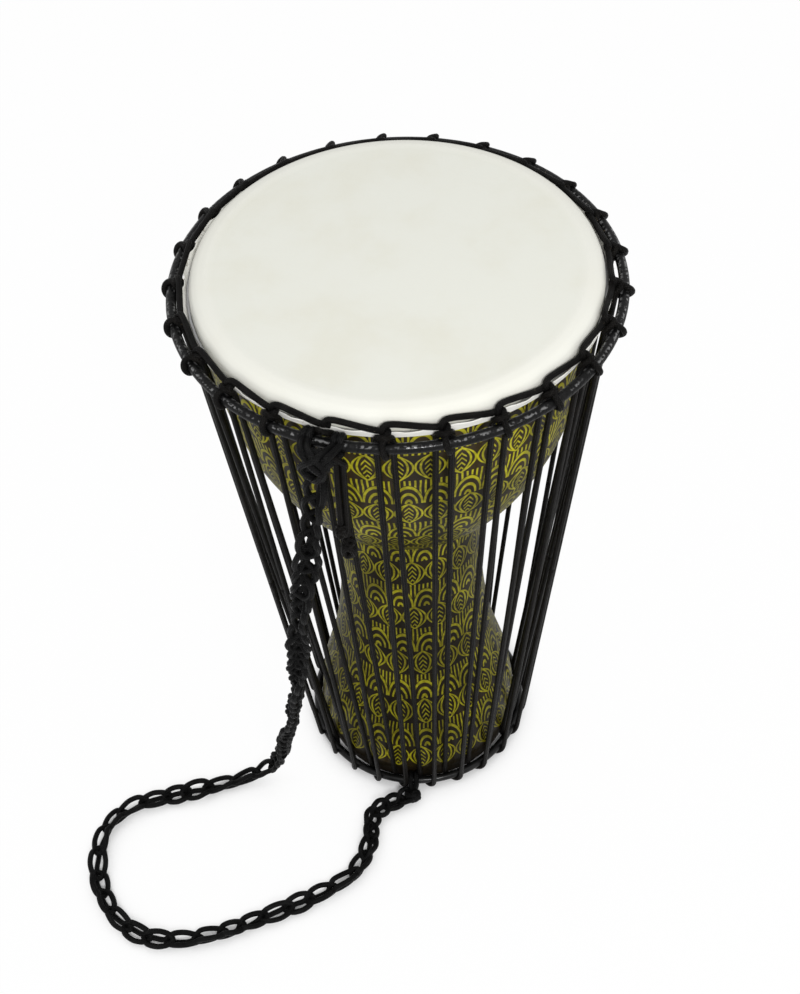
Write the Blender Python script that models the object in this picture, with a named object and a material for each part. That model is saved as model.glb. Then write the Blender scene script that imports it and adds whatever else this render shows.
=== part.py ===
"""Talking djembe: a waisted hand drum whose 25 pairs of ropes can be squeezed to bend its note.

Metres, +Z up. The origin is on the drum's axis at the floor. The drum stands on its open foot.
Angles run anticlockwise seen from above, and 270 degrees faces the player.
"""

import math

import bmesh
import bpy
from mathutils import Vector

# Gap between touching pieces, and how far a bend's corners lie out so that its flat sides clear
GAP = 0.0003
CORNER = 1.11

# Shell: a thin-walled goblet, with shares of its spread and height along the flare and the bowl
HEAD_HEIGHT = 0.4770
BOWL_RADIUS = 0.1232
WAIST_RADIUS = 0.0520
WAIST_BOTTOM = 0.1650
WAIST_TOP = 0.2720
FOOT_RADIUS = 0.0785
SHELL_WALL = 0.0060
FLARE_SHAPE = ((0.83, 0.25), (0.36, 0.60), (0.06, 1.00))
BOWL_SHAPE = ((0.02, 0.00), (0.26, 0.09), (0.53, 0.24), (0.77, 0.45), (0.91, 0.68), (1.00, 0.93))
OUTSIDE_STEPS = 2
INSIDE_STEPS = 1

# Foot: a lip that the ropes bend round, and a rebate below it that makes room for the ring
LIP_THICKNESS = 0.0050
LIP_CLEARANCE = 0.0046
REBATE_DEPTH = 0.0026

# Drumhead: a flat skin over a rounded bearing edge, folded up round a wire flesh ring
EDGE_WIDTH = 0.0141
EDGE_DROP = 0.0110
BEARING_WIDTH = 0.0120
BEVEL_RISE = 0.0055
SKIN_THICKNESS = 0.0008
FLESH_RING_TUBE = 0.0012
FLESH_RING_RISE = 0.0011
FLAP_HEIGHT = 0.0046
EDGE_STEPS = 5
FOLD_STEPS = 4

# Hoop that the ropes pull down, and ring that holds them at the foot
HOOP_TUBE = 0.0032
HOOP_DROP = 0.0145
HOOP_CLEARANCE = 0.0006
RING_TUBE = 0.0030
RING_CLEARANCE = 0.0006
HOOP_SIDES = 8
FLESH_RING_SIDES = 6

# Ropes
ROPE_RADIUS = 0.0019
ROPE_RESOLUTION = 1
STATIONS = 25
FIRST_STATION = math.radians(5.8)
STATIONS_PER_FIXED_ROPE = 3
LEG_HALF_SPACING = 0.0048
BOTTOM_TURN_STEPS = 4
CURVE_STEPS = 16

# The tension rope's way up inside the hoop and over the lacing rope: share of the leg spacing, turn
# round the hoop in degrees, and share of the rise over the lacing rope
SADDLE_ROUTE = (
    (-1.00, 180, 0.00),
    (-1.00, 149, 0.16),
    (-1.00, 127, 0.54),
    (-0.70, 114, 0.98),
    (0.00, 109, 1.20),
    (0.70, 114, 0.98),
    (1.00, 127, 0.54),
    (1.00, 149, 0.16),
    (1.00, 180, 0.00),
)

# The lacing rope's way below and over the hoop: share of its shift back along the hoop, turn round
# the hoop in degrees, and distance from the hoop's centre as a multiple of the wrap
HEM_CLEARANCE = 0.0009
LACING_TUCK = 1.35
LACING_DIVE = (
    (1.05, 133, 1.43),
    (1.00, 180, 1.00),
    (0.98, 225, CORNER),
    (0.70, 270, CORNER),
    (0.27, 315, CORNER),
)
LACING_RISE = (
    (0.00, 0, 1.00),
    (0.00, 45, CORNER),
    (0.00, 90, CORNER),
    (0.00, 122, 1.32),
)

# Stretch of the ropes that the player's arm presses inwards, on each side of the drum
SQUEEZE_BOTTOM = 0.1900
SQUEEZE_TOP = 0.2700
SQUEEZED_PER_SIDE = 4

# Knots
KNOT_SEGMENTS = 14
KNOT_RINGS = 9
STRAP_ANGLE = math.radians(250.6)
STRAP_KNOT_OFFSET = 0.0010
STRAP_KNOT_SIZE = (0.0110, 0.0064, 0.0120)
STRAP_LOOP_OFFSETS = (-0.0120, 0.0130)
STRAP_LOOP_TURNS = (60, 105, 150, 195, 240, 285)
STRAP_LOOP_KNOT_TURNS = (-20, 20)
STRAP_LOOP_PINCH = 0.45
RING_KNOT_ANGLE = math.radians(265.0)
RING_KNOT_SIZE = (0.0070, 0.0070, 0.0070)
RING_LOOP_TURNS = (70, 115, 160, 205, 250, 290)
RING_LOOP_KNOT_TURNS = (-8, 8)

# Shoulder strap: a chain-stitched rope. It hangs by angle in degrees, distance outside the ropes and
# share of the hoop's height, and then it lies by its place beside the ring's knot
STRAP_RADIUS = 0.0070
STRAP_RESOLUTION = 3
STRAP_SPACING = 0.0280
STRAP_HANGS = (
    (250.4, 0.0130, 0.935),
    (249.0, 0.0175, 0.895),
    (247.0, 0.0245, 0.815),
    (244.1, 0.0290, 0.720),
    (240.9, 0.0320, 0.610),
    (236.4, 0.0330, 0.474),
    (230.5, 0.0350, 0.346),
    (223.8, 0.0370, 0.227),
    (216.9, 0.0420, 0.119),
    (210.5, 0.0515, 0.041),
)
STRAP_LIES = (
    (-0.1345, 0.0243),
    (-0.1615, 0.0173),
    (-0.1855, 0.0123),
    (-0.2095, 0.0073),
    (-0.2325, -0.0007),
    (-0.2425, -0.0167),
    (-0.2465, -0.0427),
    (-0.2415, -0.0667),
    (-0.2295, -0.0877),
    (-0.2105, -0.1037),
    (-0.1865, -0.1097),
    (-0.1605, -0.1087),
    (-0.1345, -0.1017),
    (-0.1005, -0.0897),
    (-0.0695, -0.0767),
    (-0.0475, -0.0627),
    (-0.0365, -0.0457),
    (-0.0355, -0.0287),
    (-0.0315, -0.0147),
    (-0.0215, -0.0047),
)

# Loose rope end that hangs beside the strap's knot
TAIL_SHARE = 0.35
TAIL_DROPS = (0.0140, 0.0320, 0.0500, 0.0660)
TAIL_DRIFT = -0.0004
TAIL_SPACING = 0.0080
TAIL_RESOLUTION = 2
TAIL_KNOT_SIZE = (0.0060, 0.0050, 0.0090)

# Worked out from the sizes above: wraps of rope, head, hoop, foot and stations
WRAP_HOOP = HOOP_TUBE + GAP + ROPE_RADIUS
WRAP_RING = RING_TUBE + GAP + ROPE_RADIUS
ROPE_PITCH = 2 * ROPE_RADIUS + GAP
EDGE_HEIGHT = HEAD_HEIGHT - EDGE_DROP
FLAT_RADIUS = BOWL_RADIUS - EDGE_WIDTH
SKIN_RADIUS = BOWL_RADIUS + GAP + SKIN_THICKNESS
FLESH_RING_RADIUS = SKIN_RADIUS + GAP + FLESH_RING_TUBE
HEM_INNER = FLESH_RING_TUBE + GAP
HEM_OUTER = HEM_INNER + SKIN_THICKNESS
HOOP_HEIGHT = HEAD_HEIGHT - HOOP_DROP
HOOP_RADIUS = FLESH_RING_RADIUS + HEM_OUTER + HOOP_CLEARANCE + ROPE_RADIUS + WRAP_HOOP
FLESH_RING_HEIGHT = HOOP_HEIGHT + FLESH_RING_RISE
FLAP_TOP = FLESH_RING_HEIGHT + FLAP_HEIGHT
REBATE_RADIUS = FOOT_RADIUS - REBATE_DEPTH
RING_RADIUS = REBATE_RADIUS + RING_CLEARANCE + ROPE_RADIUS + WRAP_RING
RING_HEIGHT = WRAP_RING + ROPE_RADIUS + GAP
LIP_BOTTOM = RING_HEIGHT + RING_TUBE + LIP_CLEARANCE
LIP_TOP = LIP_BOTTOM + LIP_THICKNESS
STATION_STEP = 2 * math.pi / STATIONS
STRAP_STATION = round((STRAP_ANGLE - FIRST_STATION) / STATION_STEP)
SHELL_SEGMENTS = 2 * STATIONS
RING_SEGMENTS = 3 * STATIONS


def clear_scene():
    for item in list(bpy.data.objects):
        bpy.data.objects.remove(item, do_unlink=True)


def material(name, colour, roughness, metallic=0.0):
    made = bpy.data.materials.new(name)
    made.use_nodes = True
    shader = made.node_tree.nodes["Principled BSDF"]
    shader.inputs["Base Color"].default_value = (*colour, 1.0)
    shader.inputs["Roughness"].default_value = roughness
    shader.inputs["Metallic"].default_value = metallic
    return made


def add_object(name, data, finish):
    made = bpy.data.objects.new(name, data)
    data.materials.append(finish)
    bpy.context.scene.collection.objects.link(made)
    return made


def mesh_object(name, shape, finish, sharp_angle=math.radians(40)):
    bmesh.ops.recalc_face_normals(shape, faces=shape.faces)
    mesh = bpy.data.meshes.new(name)
    shape.to_mesh(mesh)
    shape.free()
    mesh.shade_smooth()
    mesh.set_sharp_from_angle(angle=sharp_angle)
    return add_object(name, mesh, finish)


def turned(name, outline, finish, segments=SHELL_SEGMENTS):
    """Turns a closed outline of (radius, height) points about the drum's axis, in step with the ropes."""
    shape = bmesh.new()
    rings = []
    for radius, height in outline:
        if radius == 0.0:
            rings.append([shape.verts.new((0.0, 0.0, height))] * segments)
            continue
        ring = []
        for step in range(segments):
            angle = FIRST_STATION + 2 * math.pi * step / segments
            ring.append(shape.verts.new((radius * math.cos(angle), radius * math.sin(angle), height)))
        rings.append(ring)
    for number, ring in enumerate(rings):
        following = rings[(number + 1) % len(rings)]
        for step in range(segments):
            beside = (step + 1) % segments
            corners = [ring[step], ring[beside], following[beside], following[step]]
            corners = list(dict.fromkeys(corners))
            if len(corners) > 2:
                shape.faces.new(corners)
    return mesh_object(name, shape, finish)


def arc(centre, radii, start, end, steps):
    """Points on an ellipse about centre, from start to end degrees, both included."""
    points = []
    for step in range(steps + 1):
        angle = math.radians(start + (end - start) * step / steps)
        points.append((centre[0] + radii[0] * math.cos(angle), centre[1] + radii[1] * math.sin(angle)))
    return points


def catmull_rom(before, start, end, after, share):
    result = []
    for a, b, c, d in zip(before, start, end, after):
        cubic = -a + 3 * b - 3 * c + d
        square = 2 * a - 5 * b + 4 * c - d
        result.append(0.5 * (2 * b + (c - a) * share + square * share**2 + cubic * share**3))
    return tuple(result)


def smooth_line(knots, steps):
    """A smooth line through knots of two or three values, with the same number of steps between each."""
    points = []
    padded = [knots[0]] + list(knots) + [knots[-1]]
    for before, start, end, after in zip(padded, padded[1:], padded[2:], padded[3:]):
        for step in range(steps):
            points.append(catmull_rom(before, start, end, after, step / steps))
    points.append(tuple(knots[-1]))
    return points


def smooth_route(route, spacing):
    """Evenly spaced points on a smooth curve through the route."""
    dense = [Vector(point) for point in smooth_line(route, CURVE_STEPS)]
    reached = [0.0]
    for start, end in zip(dense, dense[1:]):
        reached.append(reached[-1] + (end - start).length)
    count = max(2, round(reached[-1] / spacing))
    points = []
    number = 0
    for step in range(count + 1):
        wanted = reached[-1] * step / count
        while number < len(dense) - 2 and reached[number + 1] < wanted:
            number += 1
        share = (wanted - reached[number]) / (reached[number + 1] - reached[number])
        points.append(dense[number].lerp(dense[number + 1], share))
    return points


def offset_inwards(outline, distance):
    """Moves each point of an outline that runs upwards towards the axis, square to the outline."""
    moved = []
    last = len(outline) - 1
    for number, (radius, height) in enumerate(outline):
        before = outline[max(number - 1, 0)]
        after = outline[min(number + 1, last)]
        along = Vector((after[0] - before[0], after[1] - before[1])).normalized()
        moved.append((radius - along.y * distance, height + along.x * distance))
    return moved


def shell_side(steps):
    """The shell's outside from the foot's lip, in round the waist and up to the bearing edge."""
    foot_spread, flare_height = FOOT_RADIUS - WAIST_RADIUS, WAIST_BOTTOM - LIP_TOP
    bowl_spread, bowl_height = BOWL_RADIUS - WAIST_RADIUS, EDGE_HEIGHT - WAIST_TOP
    knots = [(FOOT_RADIUS, LIP_TOP)]
    for spread, rise in FLARE_SHAPE:
        knots.append((WAIST_RADIUS + spread * foot_spread, LIP_TOP + rise * flare_height))
    knots.append((WAIST_RADIUS, (WAIST_BOTTOM + WAIST_TOP) / 2))
    for spread, rise in BOWL_SHAPE:
        knots.append((WAIST_RADIUS + spread * bowl_spread, WAIST_TOP + rise * bowl_height))
    return smooth_line(knots, steps)


def make_shell(finish):
    foot = [(REBATE_RADIUS, 0.0), (REBATE_RADIUS, LIP_BOTTOM), (FOOT_RADIUS, LIP_BOTTOM)]
    edge_radii = (BOWL_RADIUS - FLAT_RADIUS, EDGE_DROP - SKIN_THICKNESS - GAP)
    edge = arc((FLAT_RADIUS, EDGE_HEIGHT), edge_radii, 0, 90, EDGE_STEPS)
    bevel = [(BOWL_RADIUS - BEARING_WIDTH - SHELL_WALL, EDGE_HEIGHT + BEVEL_RISE)]
    inside = offset_inwards(shell_side(INSIDE_STEPS), SHELL_WALL)
    inside = [point for point in inside if point[1] > LIP_TOP + SHELL_WALL]
    inner_foot = [(REBATE_RADIUS - SHELL_WALL, LIP_TOP), (REBATE_RADIUS - SHELL_WALL, 0.0)]
    outline = foot + shell_side(OUTSIDE_STEPS) + edge + bevel + inside[::-1] + inner_foot
    return turned("shell", outline, finish)


def make_skin(finish):
    """The skin's flat, its rounded edge, its side and the hem that folds up round the wire."""
    top = [(0.0, HEAD_HEIGHT)]
    top += arc((FLAT_RADIUS, EDGE_HEIGHT), (SKIN_RADIUS - FLAT_RADIUS, EDGE_DROP), 90, 0, EDGE_STEPS)
    fold_centre = (FLESH_RING_RADIUS, FLESH_RING_HEIGHT)
    fold_inside = arc(fold_centre, (HEM_INNER, HEM_INNER), 180, 360, FOLD_STEPS)
    flap = [(FLESH_RING_RADIUS + HEM_INNER, FLAP_TOP), (FLESH_RING_RADIUS + HEM_OUTER, FLAP_TOP)]
    fold_outside = arc(fold_centre, (HEM_OUTER, HEM_OUTER), 360, 180, FOLD_STEPS)
    inner_radii = (SKIN_RADIUS - FLAT_RADIUS - SKIN_THICKNESS, EDGE_DROP - SKIN_THICKNESS)
    underside = arc((FLAT_RADIUS, EDGE_HEIGHT), inner_radii, 0, 90, EDGE_STEPS)
    underside.append((0.0, HEAD_HEIGHT - SKIN_THICKNESS))
    return turned("drum_skin", top + fold_inside + flap + fold_outside + underside, finish)


def make_ring(name, centre, tube, sides, segments, finish):
    """A round rod bent into a ring, with its section's centre as (radius, height)."""
    outline = arc(centre, (tube, tube), 0, 360 - 360 / sides, sides - 1)
    return turned(name, outline, finish, segments)


def rope(name, points, finish, radius=ROPE_RADIUS, resolution=ROPE_RESOLUTION, closed=False):
    """A round tube along the points, with flat ends."""
    curve = bpy.data.curves.new(name, "CURVE")
    curve.dimensions = "3D"
    curve.bevel_depth = radius
    curve.bevel_resolution = resolution
    curve.use_fill_caps = True
    spline = curve.splines.new("POLY")
    spline.points.add(len(points) - 1)
    for target, point in zip(spline.points, points):
        target.co = (*point, 1.0)
    spline.use_cyclic_u = closed
    spline.use_smooth = True
    return add_object(name, curve, finish)


def station_angle(station):
    return FIRST_STATION + station * STATION_STEP


def place(angle, along, radius, height, reference):
    """A point by its angle, its distance along the reference circle, its radius and its height."""
    turned_to = angle + along / reference
    return Vector((radius * math.cos(turned_to), radius * math.sin(turned_to), height))


def by_hoop(station, along, turn, distance):
    """A point round the hoop's section: turn 0 is outside, 90 above and 180 inside."""
    radius = HOOP_RADIUS + distance * math.cos(math.radians(turn))
    height = HOOP_HEIGHT + distance * math.sin(math.radians(turn))
    return place(station_angle(station), along, radius, height, HOOP_RADIUS)


def by_ring(angle, along, turn, distance):
    """A point round the lower ring's section: turn 0 is outside, 180 inside and 270 below."""
    radius = RING_RADIUS + distance * math.cos(math.radians(turn))
    height = RING_HEIGHT + distance * math.sin(math.radians(turn))
    return place(angle, along, radius, height, RING_RADIUS)


def saddle(station):
    """The tension rope's bight: up inside the hoop, over the lacing rope and down inside again."""
    rise_over_lacing = (CORNER - 1) * WRAP_HOOP + ROPE_PITCH + GAP
    points = []
    for share, turn, rise in SADDLE_ROUTE:
        points.append(by_hoop(station, share * LEG_HALF_SPACING, turn, WRAP_HOOP + rise * rise_over_lacing))
    return points


def bottom_turn(station):
    """The bight under the lower ring between this station's inner leg and the next one's outer leg."""
    angle = station_angle(station) + STATION_STEP / 2
    half = STATION_STEP / 4 * RING_RADIUS
    points = [place(angle, -half, FOOT_RADIUS + GAP + ROPE_RADIUS, LIP_BOTTOM, RING_RADIUS)]
    for step in range(BOTTOM_TURN_STEPS + 1):
        share = step / BOTTOM_TURN_STEPS
        distance = WRAP_RING if share in (0, 1) else CORNER * WRAP_RING
        points.append(by_ring(angle, half * (2 * share - 1), 180 + 180 * share, distance))
    return points


def turn_halves(station):
    """A bottom turn cut in two, with each end half a gap from the middle of a straight side."""
    turn = bottom_turn(station)
    cut = len(turn) - 2
    middle = turn[cut - 1].lerp(turn[cut], 0.5)
    half_gap = (turn[cut] - turn[cut - 1]).normalized() * GAP / 2
    return turn[:cut] + [middle - half_gap], [middle + half_gap] + turn[cut:]


def outer_leg(station):
    """Ends, from the top, of the leg that passes outside the lower ring."""
    return saddle(station)[0], bottom_turn(station - 1)[-1]


def inner_leg(station):
    """Ends, from the top, of the leg that passes between the foot's lip and the lower ring."""
    return saddle(station)[-1], bottom_turn(station)[0]


def at_height(leg, height):
    top, bottom = leg
    return top.lerp(bottom, (top.z - height) / (top.z - bottom.z))


def squeezed_stations(centre):
    """The stations of one squeezed group, about the middle of the drum's right or left side."""
    first = centre - SQUEEZED_PER_SIDE // 2
    return [(first + number) % STATIONS for number in range(SQUEEZED_PER_SIDE)]


def fixed_stations(groups):
    """The stations between the squeezed groups, as runs in order round the drum."""
    squeezed = {station for group in groups for station in group}
    runs = []
    for group in groups:
        station = (group[-1] + 1) % STATIONS
        run = []
        while station not in squeezed:
            run.append(station)
            station = (station + 1) % STATIONS
        runs.append(run)
    return runs


def make_fixed_ropes(groups, finish):
    """Tension rope outside the squeezed groups, cut under the ring into nodes of a few stations."""
    number = 0
    for run in fixed_stations(groups):
        for first in range(0, len(run), STATIONS_PER_FIXED_ROPE):
            stations = run[first : first + STATIONS_PER_FIXED_ROPE]
            points = turn_halves(stations[0] - 1)[1]
            for station in stations[:-1]:
                points += saddle(station) + bottom_turn(station)
            points += saddle(stations[-1]) + turn_halves(stations[-1])[0]
            number += 1
            rope(f"tension_rope_{number}", points, finish)


def make_squeezed_ropes(side, stations, finish):
    """Ropes of one squeezed group, with the middle stretches apart, because those move."""
    for number, station in enumerate(stations, 1):
        outer, inner = outer_leg(station), inner_leg(station)
        top = [at_height(outer, SQUEEZE_TOP)] + saddle(station) + [at_height(inner, SQUEEZE_TOP)]
        rope(f"rope_upper_{side}_{number}", top, finish)
        for leg_name, leg in (("outer", outer), ("inner", inner)):
            middle = [at_height(leg, SQUEEZE_TOP - GAP), at_height(leg, SQUEEZE_BOTTOM + GAP)]
            rope(f"rope_middle_{side}_{leg_name}_{number}", middle, finish)
    for number, (station, following) in enumerate(zip(stations, stations[1:]), 1):
        start = at_height(inner_leg(station), SQUEEZE_BOTTOM)
        end = at_height(outer_leg(following), SQUEEZE_BOTTOM)
        rope(f"rope_lower_{side}_{number}", [start] + bottom_turn(station) + [end], finish)
    first_end = turn_halves(stations[0] - 1)[1] + [at_height(outer_leg(stations[0]), SQUEEZE_BOTTOM)]
    rope(f"rope_lower_{side}_first", first_end, finish)
    last_end = [at_height(inner_leg(stations[-1]), SQUEEZE_BOTTOM)] + turn_halves(stations[-1])[0]
    rope(f"rope_lower_{side}_last", last_end, finish)


def hem_point(station, along, outwards=0.0):
    """A point of the lacing rope on the turned-up hem."""
    radius = FLESH_RING_RADIUS + HEM_INNER + outwards
    return place(station_angle(station), along, radius, FLAP_TOP + HEM_CLEARANCE + ROPE_RADIUS, HOOP_RADIUS)


def lacing_dive(station):
    """The lacing rope's way off the hem, down inside the hoop beside the legs, and out below it."""
    shift = -(LEG_HALF_SPACING + ROPE_PITCH + GAP)
    points = [hem_point(station, LACING_TUCK * shift, ROPE_RADIUS)]
    for share, turn, wraps in LACING_DIVE:
        points.append(by_hoop(station, share * shift, turn, wraps * WRAP_HOOP))
    return points


def lacing_rise(station):
    """The lacing rope's way up outside the hoop, under the tension rope's bight and onto the hem."""
    points = [by_hoop(station, along, turn, wraps * WRAP_HOOP) for along, turn, wraps in LACING_RISE]
    half_step = STATION_STEP * HOOP_RADIUS / 2
    return points + [hem_point(station, 0.0), hem_point(station, half_step - ROPE_PITCH)]


def make_lacing(finish):
    """One rope round the whole head, from the strap's station back to it."""
    points = lacing_rise(STRAP_STATION)[-2:]
    for station in range(STRAP_STATION + 1, STRAP_STATION + STATIONS):
        points += lacing_dive(station) + lacing_rise(station)
    points += lacing_dive(STRAP_STATION)[:1]
    rope("lacing_rope", points, finish)


def lump(name, centre, size, angle, finish):
    """A round knot, with its first size across, its second outwards and its third upright."""
    shape = bmesh.new()
    bmesh.ops.create_uvsphere(shape, u_segments=KNOT_SEGMENTS, v_segments=KNOT_RINGS, radius=1.0)
    radial = Vector((math.cos(angle), math.sin(angle), 0.0))
    sideways = Vector((-math.sin(angle), math.cos(angle), 0.0))
    for vert in shape.verts:
        outwards, across, upright = vert.co.x * size[1], vert.co.y * size[0], vert.co.z * size[2]
        vert.co = centre + sideways * across + radial * outwards + Vector((0.0, 0.0, upright))
    return mesh_object(name, shape, finish, math.pi)


def join_to(knot, loop):
    """Joins a loop to its knot with a Boolean, and leaves the loop as a hidden guide."""
    joined = knot.modifiers.new(loop.name, "BOOLEAN")
    joined.operation = "UNION"
    joined.solver = "EXACT"
    joined.object = loop
    loop.hide_render = True
    loop.display_type = "WIRE"


def tube_mesh(name, points, finish):
    """A closed loop of rope as a mesh, so that it can be joined to a knot."""
    curve = rope(name + "_curve", points, finish, closed=True)
    bpy.context.view_layer.update()
    mesh = bpy.data.meshes.new_from_object(curve.evaluated_get(bpy.context.evaluated_depsgraph_get()))
    mesh.name = name
    bpy.data.objects.remove(curve, do_unlink=True)
    made = bpy.data.objects.new(name, mesh)
    bpy.context.scene.collection.objects.link(made)
    return made


def strap_knot_centre():
    outwards = HOOP_RADIUS + WRAP_HOOP + ROPE_RADIUS + GAP + STRAP_KNOT_SIZE[1]
    return place(station_angle(STRAP_STATION), STRAP_KNOT_OFFSET, outwards, HOOP_HEIGHT, HOOP_RADIUS)


def ring_knot_centre():
    outwards = RING_RADIUS + WRAP_RING + ROPE_RADIUS + RING_KNOT_SIZE[1]
    return place(RING_KNOT_ANGLE, 0.0, outwards, RING_KNOT_SIZE[2] + GAP, RING_RADIUS)


def strap_loop(offset):
    """A loop of the strap round the hoop, from above it to below it and then through the knot."""
    points = [by_hoop(STRAP_STATION, offset, turn, CORNER * WRAP_HOOP) for turn in STRAP_LOOP_TURNS]
    reach = strap_knot_centre().xy.length - HOOP_RADIUS
    tucked = STRAP_KNOT_OFFSET + STRAP_LOOP_PINCH * (offset - STRAP_KNOT_OFFSET)
    return points + [by_hoop(STRAP_STATION, tucked, turn, reach) for turn in STRAP_LOOP_KNOT_TURNS]


def ring_loop():
    """The strap's loop round the lower ring and through its knot."""
    points = [by_ring(RING_KNOT_ANGLE, 0.0, turn, WRAP_RING) for turn in RING_LOOP_TURNS]
    reach = ring_knot_centre().xy.length - RING_RADIUS
    return points + [by_ring(RING_KNOT_ANGLE, 0.0, turn, reach) for turn in RING_LOOP_KNOT_TURNS]


def beside_ropes(degrees, distance, share):
    """A point outside the tension ropes, at a share of the hoop's height."""
    height = share * HOOP_HEIGHT
    bottom = RING_RADIUS + WRAP_RING
    widening = (HOOP_RADIUS + WRAP_HOOP - bottom) / (HOOP_HEIGHT - RING_HEIGHT)
    radius = bottom + widening * (height - RING_HEIGHT) + distance
    return place(math.radians(degrees), 0.0, radius, height, HOOP_RADIUS)


def strap_route():
    """The strap's centre line, from below its top knot to beside its knot on the ring."""
    start = strap_knot_centre() - Vector((0.0, 0.0, STRAP_KNOT_SIZE[2] + GAP))
    hanging = [beside_ropes(*point) for point in STRAP_HANGS]
    ring_knot = ring_knot_centre()
    lying = []
    for across, towards in STRAP_LIES:
        lying.append(Vector((ring_knot.x + across, ring_knot.y + towards, STRAP_RADIUS + GAP)))
    away = (lying[-1] - ring_knot).normalized()
    end = ring_knot + away * (RING_KNOT_SIZE[0] + 2 * GAP)
    return smooth_route([start] + hanging + lying + [end], STRAP_SPACING)


def make_strap(finish):
    knot = lump("strap_top_knot", strap_knot_centre(), STRAP_KNOT_SIZE, station_angle(STRAP_STATION), finish)
    for number, offset in enumerate(STRAP_LOOP_OFFSETS, 1):
        join_to(knot, tube_mesh(f"strap_loop_{number}", strap_loop(offset), finish))
    ring_knot = lump("strap_ring_knot", ring_knot_centre(), RING_KNOT_SIZE, RING_KNOT_ANGLE, finish)
    join_to(ring_knot, tube_mesh("strap_ring_loop", ring_loop(), finish))
    rope("shoulder_strap", strap_route(), finish, STRAP_RADIUS, STRAP_RESOLUTION)


def make_tail(finish):
    """The tension rope's free end, which hangs from the strap's loop, and its stopper knot."""
    angle = station_angle(STRAP_STATION)
    sideways = Vector((-math.sin(angle), math.cos(angle), 0.0))
    loop = strap_loop(STRAP_LOOP_OFFSETS[1])
    under_loop = loop[5].lerp(loop[6], TAIL_SHARE) - Vector((0.0, 0.0, ROPE_RADIUS + 2 * GAP))
    route = [under_loop]
    for number, fall in enumerate(TAIL_DROPS, 1):
        route.append(under_loop + sideways * number * TAIL_DRIFT - Vector((0.0, 0.0, fall)))
    points = smooth_route(route, TAIL_SPACING)
    rope("rope_tail", points, finish, resolution=TAIL_RESOLUTION)
    centre = points[-1] - Vector((0.0, 0.0, TAIL_KNOT_SIZE[2] + GAP))
    lump("tail_knot", centre, TAIL_KNOT_SIZE, angle, finish)


def build():
    clear_scene()
    printed_shell = material("printed_shell", (0.10, 0.075, 0.02), 0.35)
    skin = material("skin", (0.86, 0.84, 0.75), 0.55)
    wire = material("wire", (0.35, 0.35, 0.36), 0.35, 1.0)
    taped_steel = material("taped_steel", (0.012, 0.012, 0.014), 0.30)
    ring_steel = material("ring_steel", (0.014, 0.014, 0.016), 0.25)
    tension_cord = material("tension_cord", (0.014, 0.014, 0.016), 0.70)
    lacing_cord = material("lacing_cord", (0.018, 0.016, 0.018), 0.75)
    strap_cord = material("strap_cord", (0.010, 0.010, 0.011), 0.75)
    make_shell(printed_shell)
    make_skin(skin)
    flesh_ring_at = (FLESH_RING_RADIUS, FLESH_RING_HEIGHT)
    make_ring("flesh_ring", flesh_ring_at, FLESH_RING_TUBE, FLESH_RING_SIDES, SHELL_SEGMENTS, wire)
    make_ring("top_hoop", (HOOP_RADIUS, HOOP_HEIGHT), HOOP_TUBE, HOOP_SIDES, RING_SEGMENTS, taped_steel)
    make_ring("bottom_ring", (RING_RADIUS, RING_HEIGHT), RING_TUBE, HOOP_SIDES, RING_SEGMENTS, ring_steel)
    right = squeezed_stations(0)
    left = squeezed_stations(STATIONS // 2 + 1)
    make_fixed_ropes((right, left), tension_cord)
    make_squeezed_ropes("left", left, tension_cord)
    make_squeezed_ropes("right", right, tension_cord)
    make_lacing(lacing_cord)
    make_strap(strap_cord)
    make_tail(tension_cord)


build()
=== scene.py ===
# %% [markdown]
# # A talking djembe
# This drum is a goblet with a goatskin head. Twenty-five pairs of ropes run down its side, and the
# player squeezes them to bend the note. The solid parts of the drum come in first, as a fixed frame.
# Everything made here is a finer piece that takes a solid part's place.

# %% Load the solid parts
import math
import random
from bisect import bisect_right

import bmesh
import bpy
from mathutils import Matrix, Vector


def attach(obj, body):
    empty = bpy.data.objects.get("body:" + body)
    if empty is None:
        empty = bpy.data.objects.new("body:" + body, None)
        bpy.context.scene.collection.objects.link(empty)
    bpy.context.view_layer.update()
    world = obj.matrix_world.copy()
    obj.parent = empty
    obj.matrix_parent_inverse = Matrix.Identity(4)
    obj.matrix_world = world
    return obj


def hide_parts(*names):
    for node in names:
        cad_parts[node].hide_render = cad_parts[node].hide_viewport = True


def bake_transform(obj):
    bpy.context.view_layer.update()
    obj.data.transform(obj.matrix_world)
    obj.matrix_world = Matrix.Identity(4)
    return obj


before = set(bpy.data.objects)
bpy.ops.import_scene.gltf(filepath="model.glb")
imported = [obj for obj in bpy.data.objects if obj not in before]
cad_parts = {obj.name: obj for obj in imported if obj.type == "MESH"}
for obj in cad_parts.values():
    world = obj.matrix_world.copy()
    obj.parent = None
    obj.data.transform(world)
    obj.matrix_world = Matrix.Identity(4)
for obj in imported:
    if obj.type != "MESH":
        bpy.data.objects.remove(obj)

bpy.context.view_layer.update()

# %% [markdown]
# A camera can be turned by hand until the drum looks right, or worked out from points on the
# photograph. Here it was worked out, so its place, pan, tilt and roll are plain measurements. Blender's
# camera looks down its own -Z with +Y up, so its axes are the picture's right, up and backward.

# %% Camera
CAMERA_PLACE = Vector((0.0, -0.6808, 1.0702))
CAMERA_PAN = math.radians(-0.4808)
CAMERA_TILT = math.radians(49.967)
CAMERA_ROLL = math.radians(3.3524)
FOCAL_LENGTH_PIXELS = 1500
IMAGE_HEIGHT_PIXELS = 994
SENSOR = 36.0


def placed(name, data):
    """Makes an object of this data and puts it in the scene."""
    made = bpy.data.objects.new(name, data)
    bpy.context.scene.collection.objects.link(made)
    return made


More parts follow.
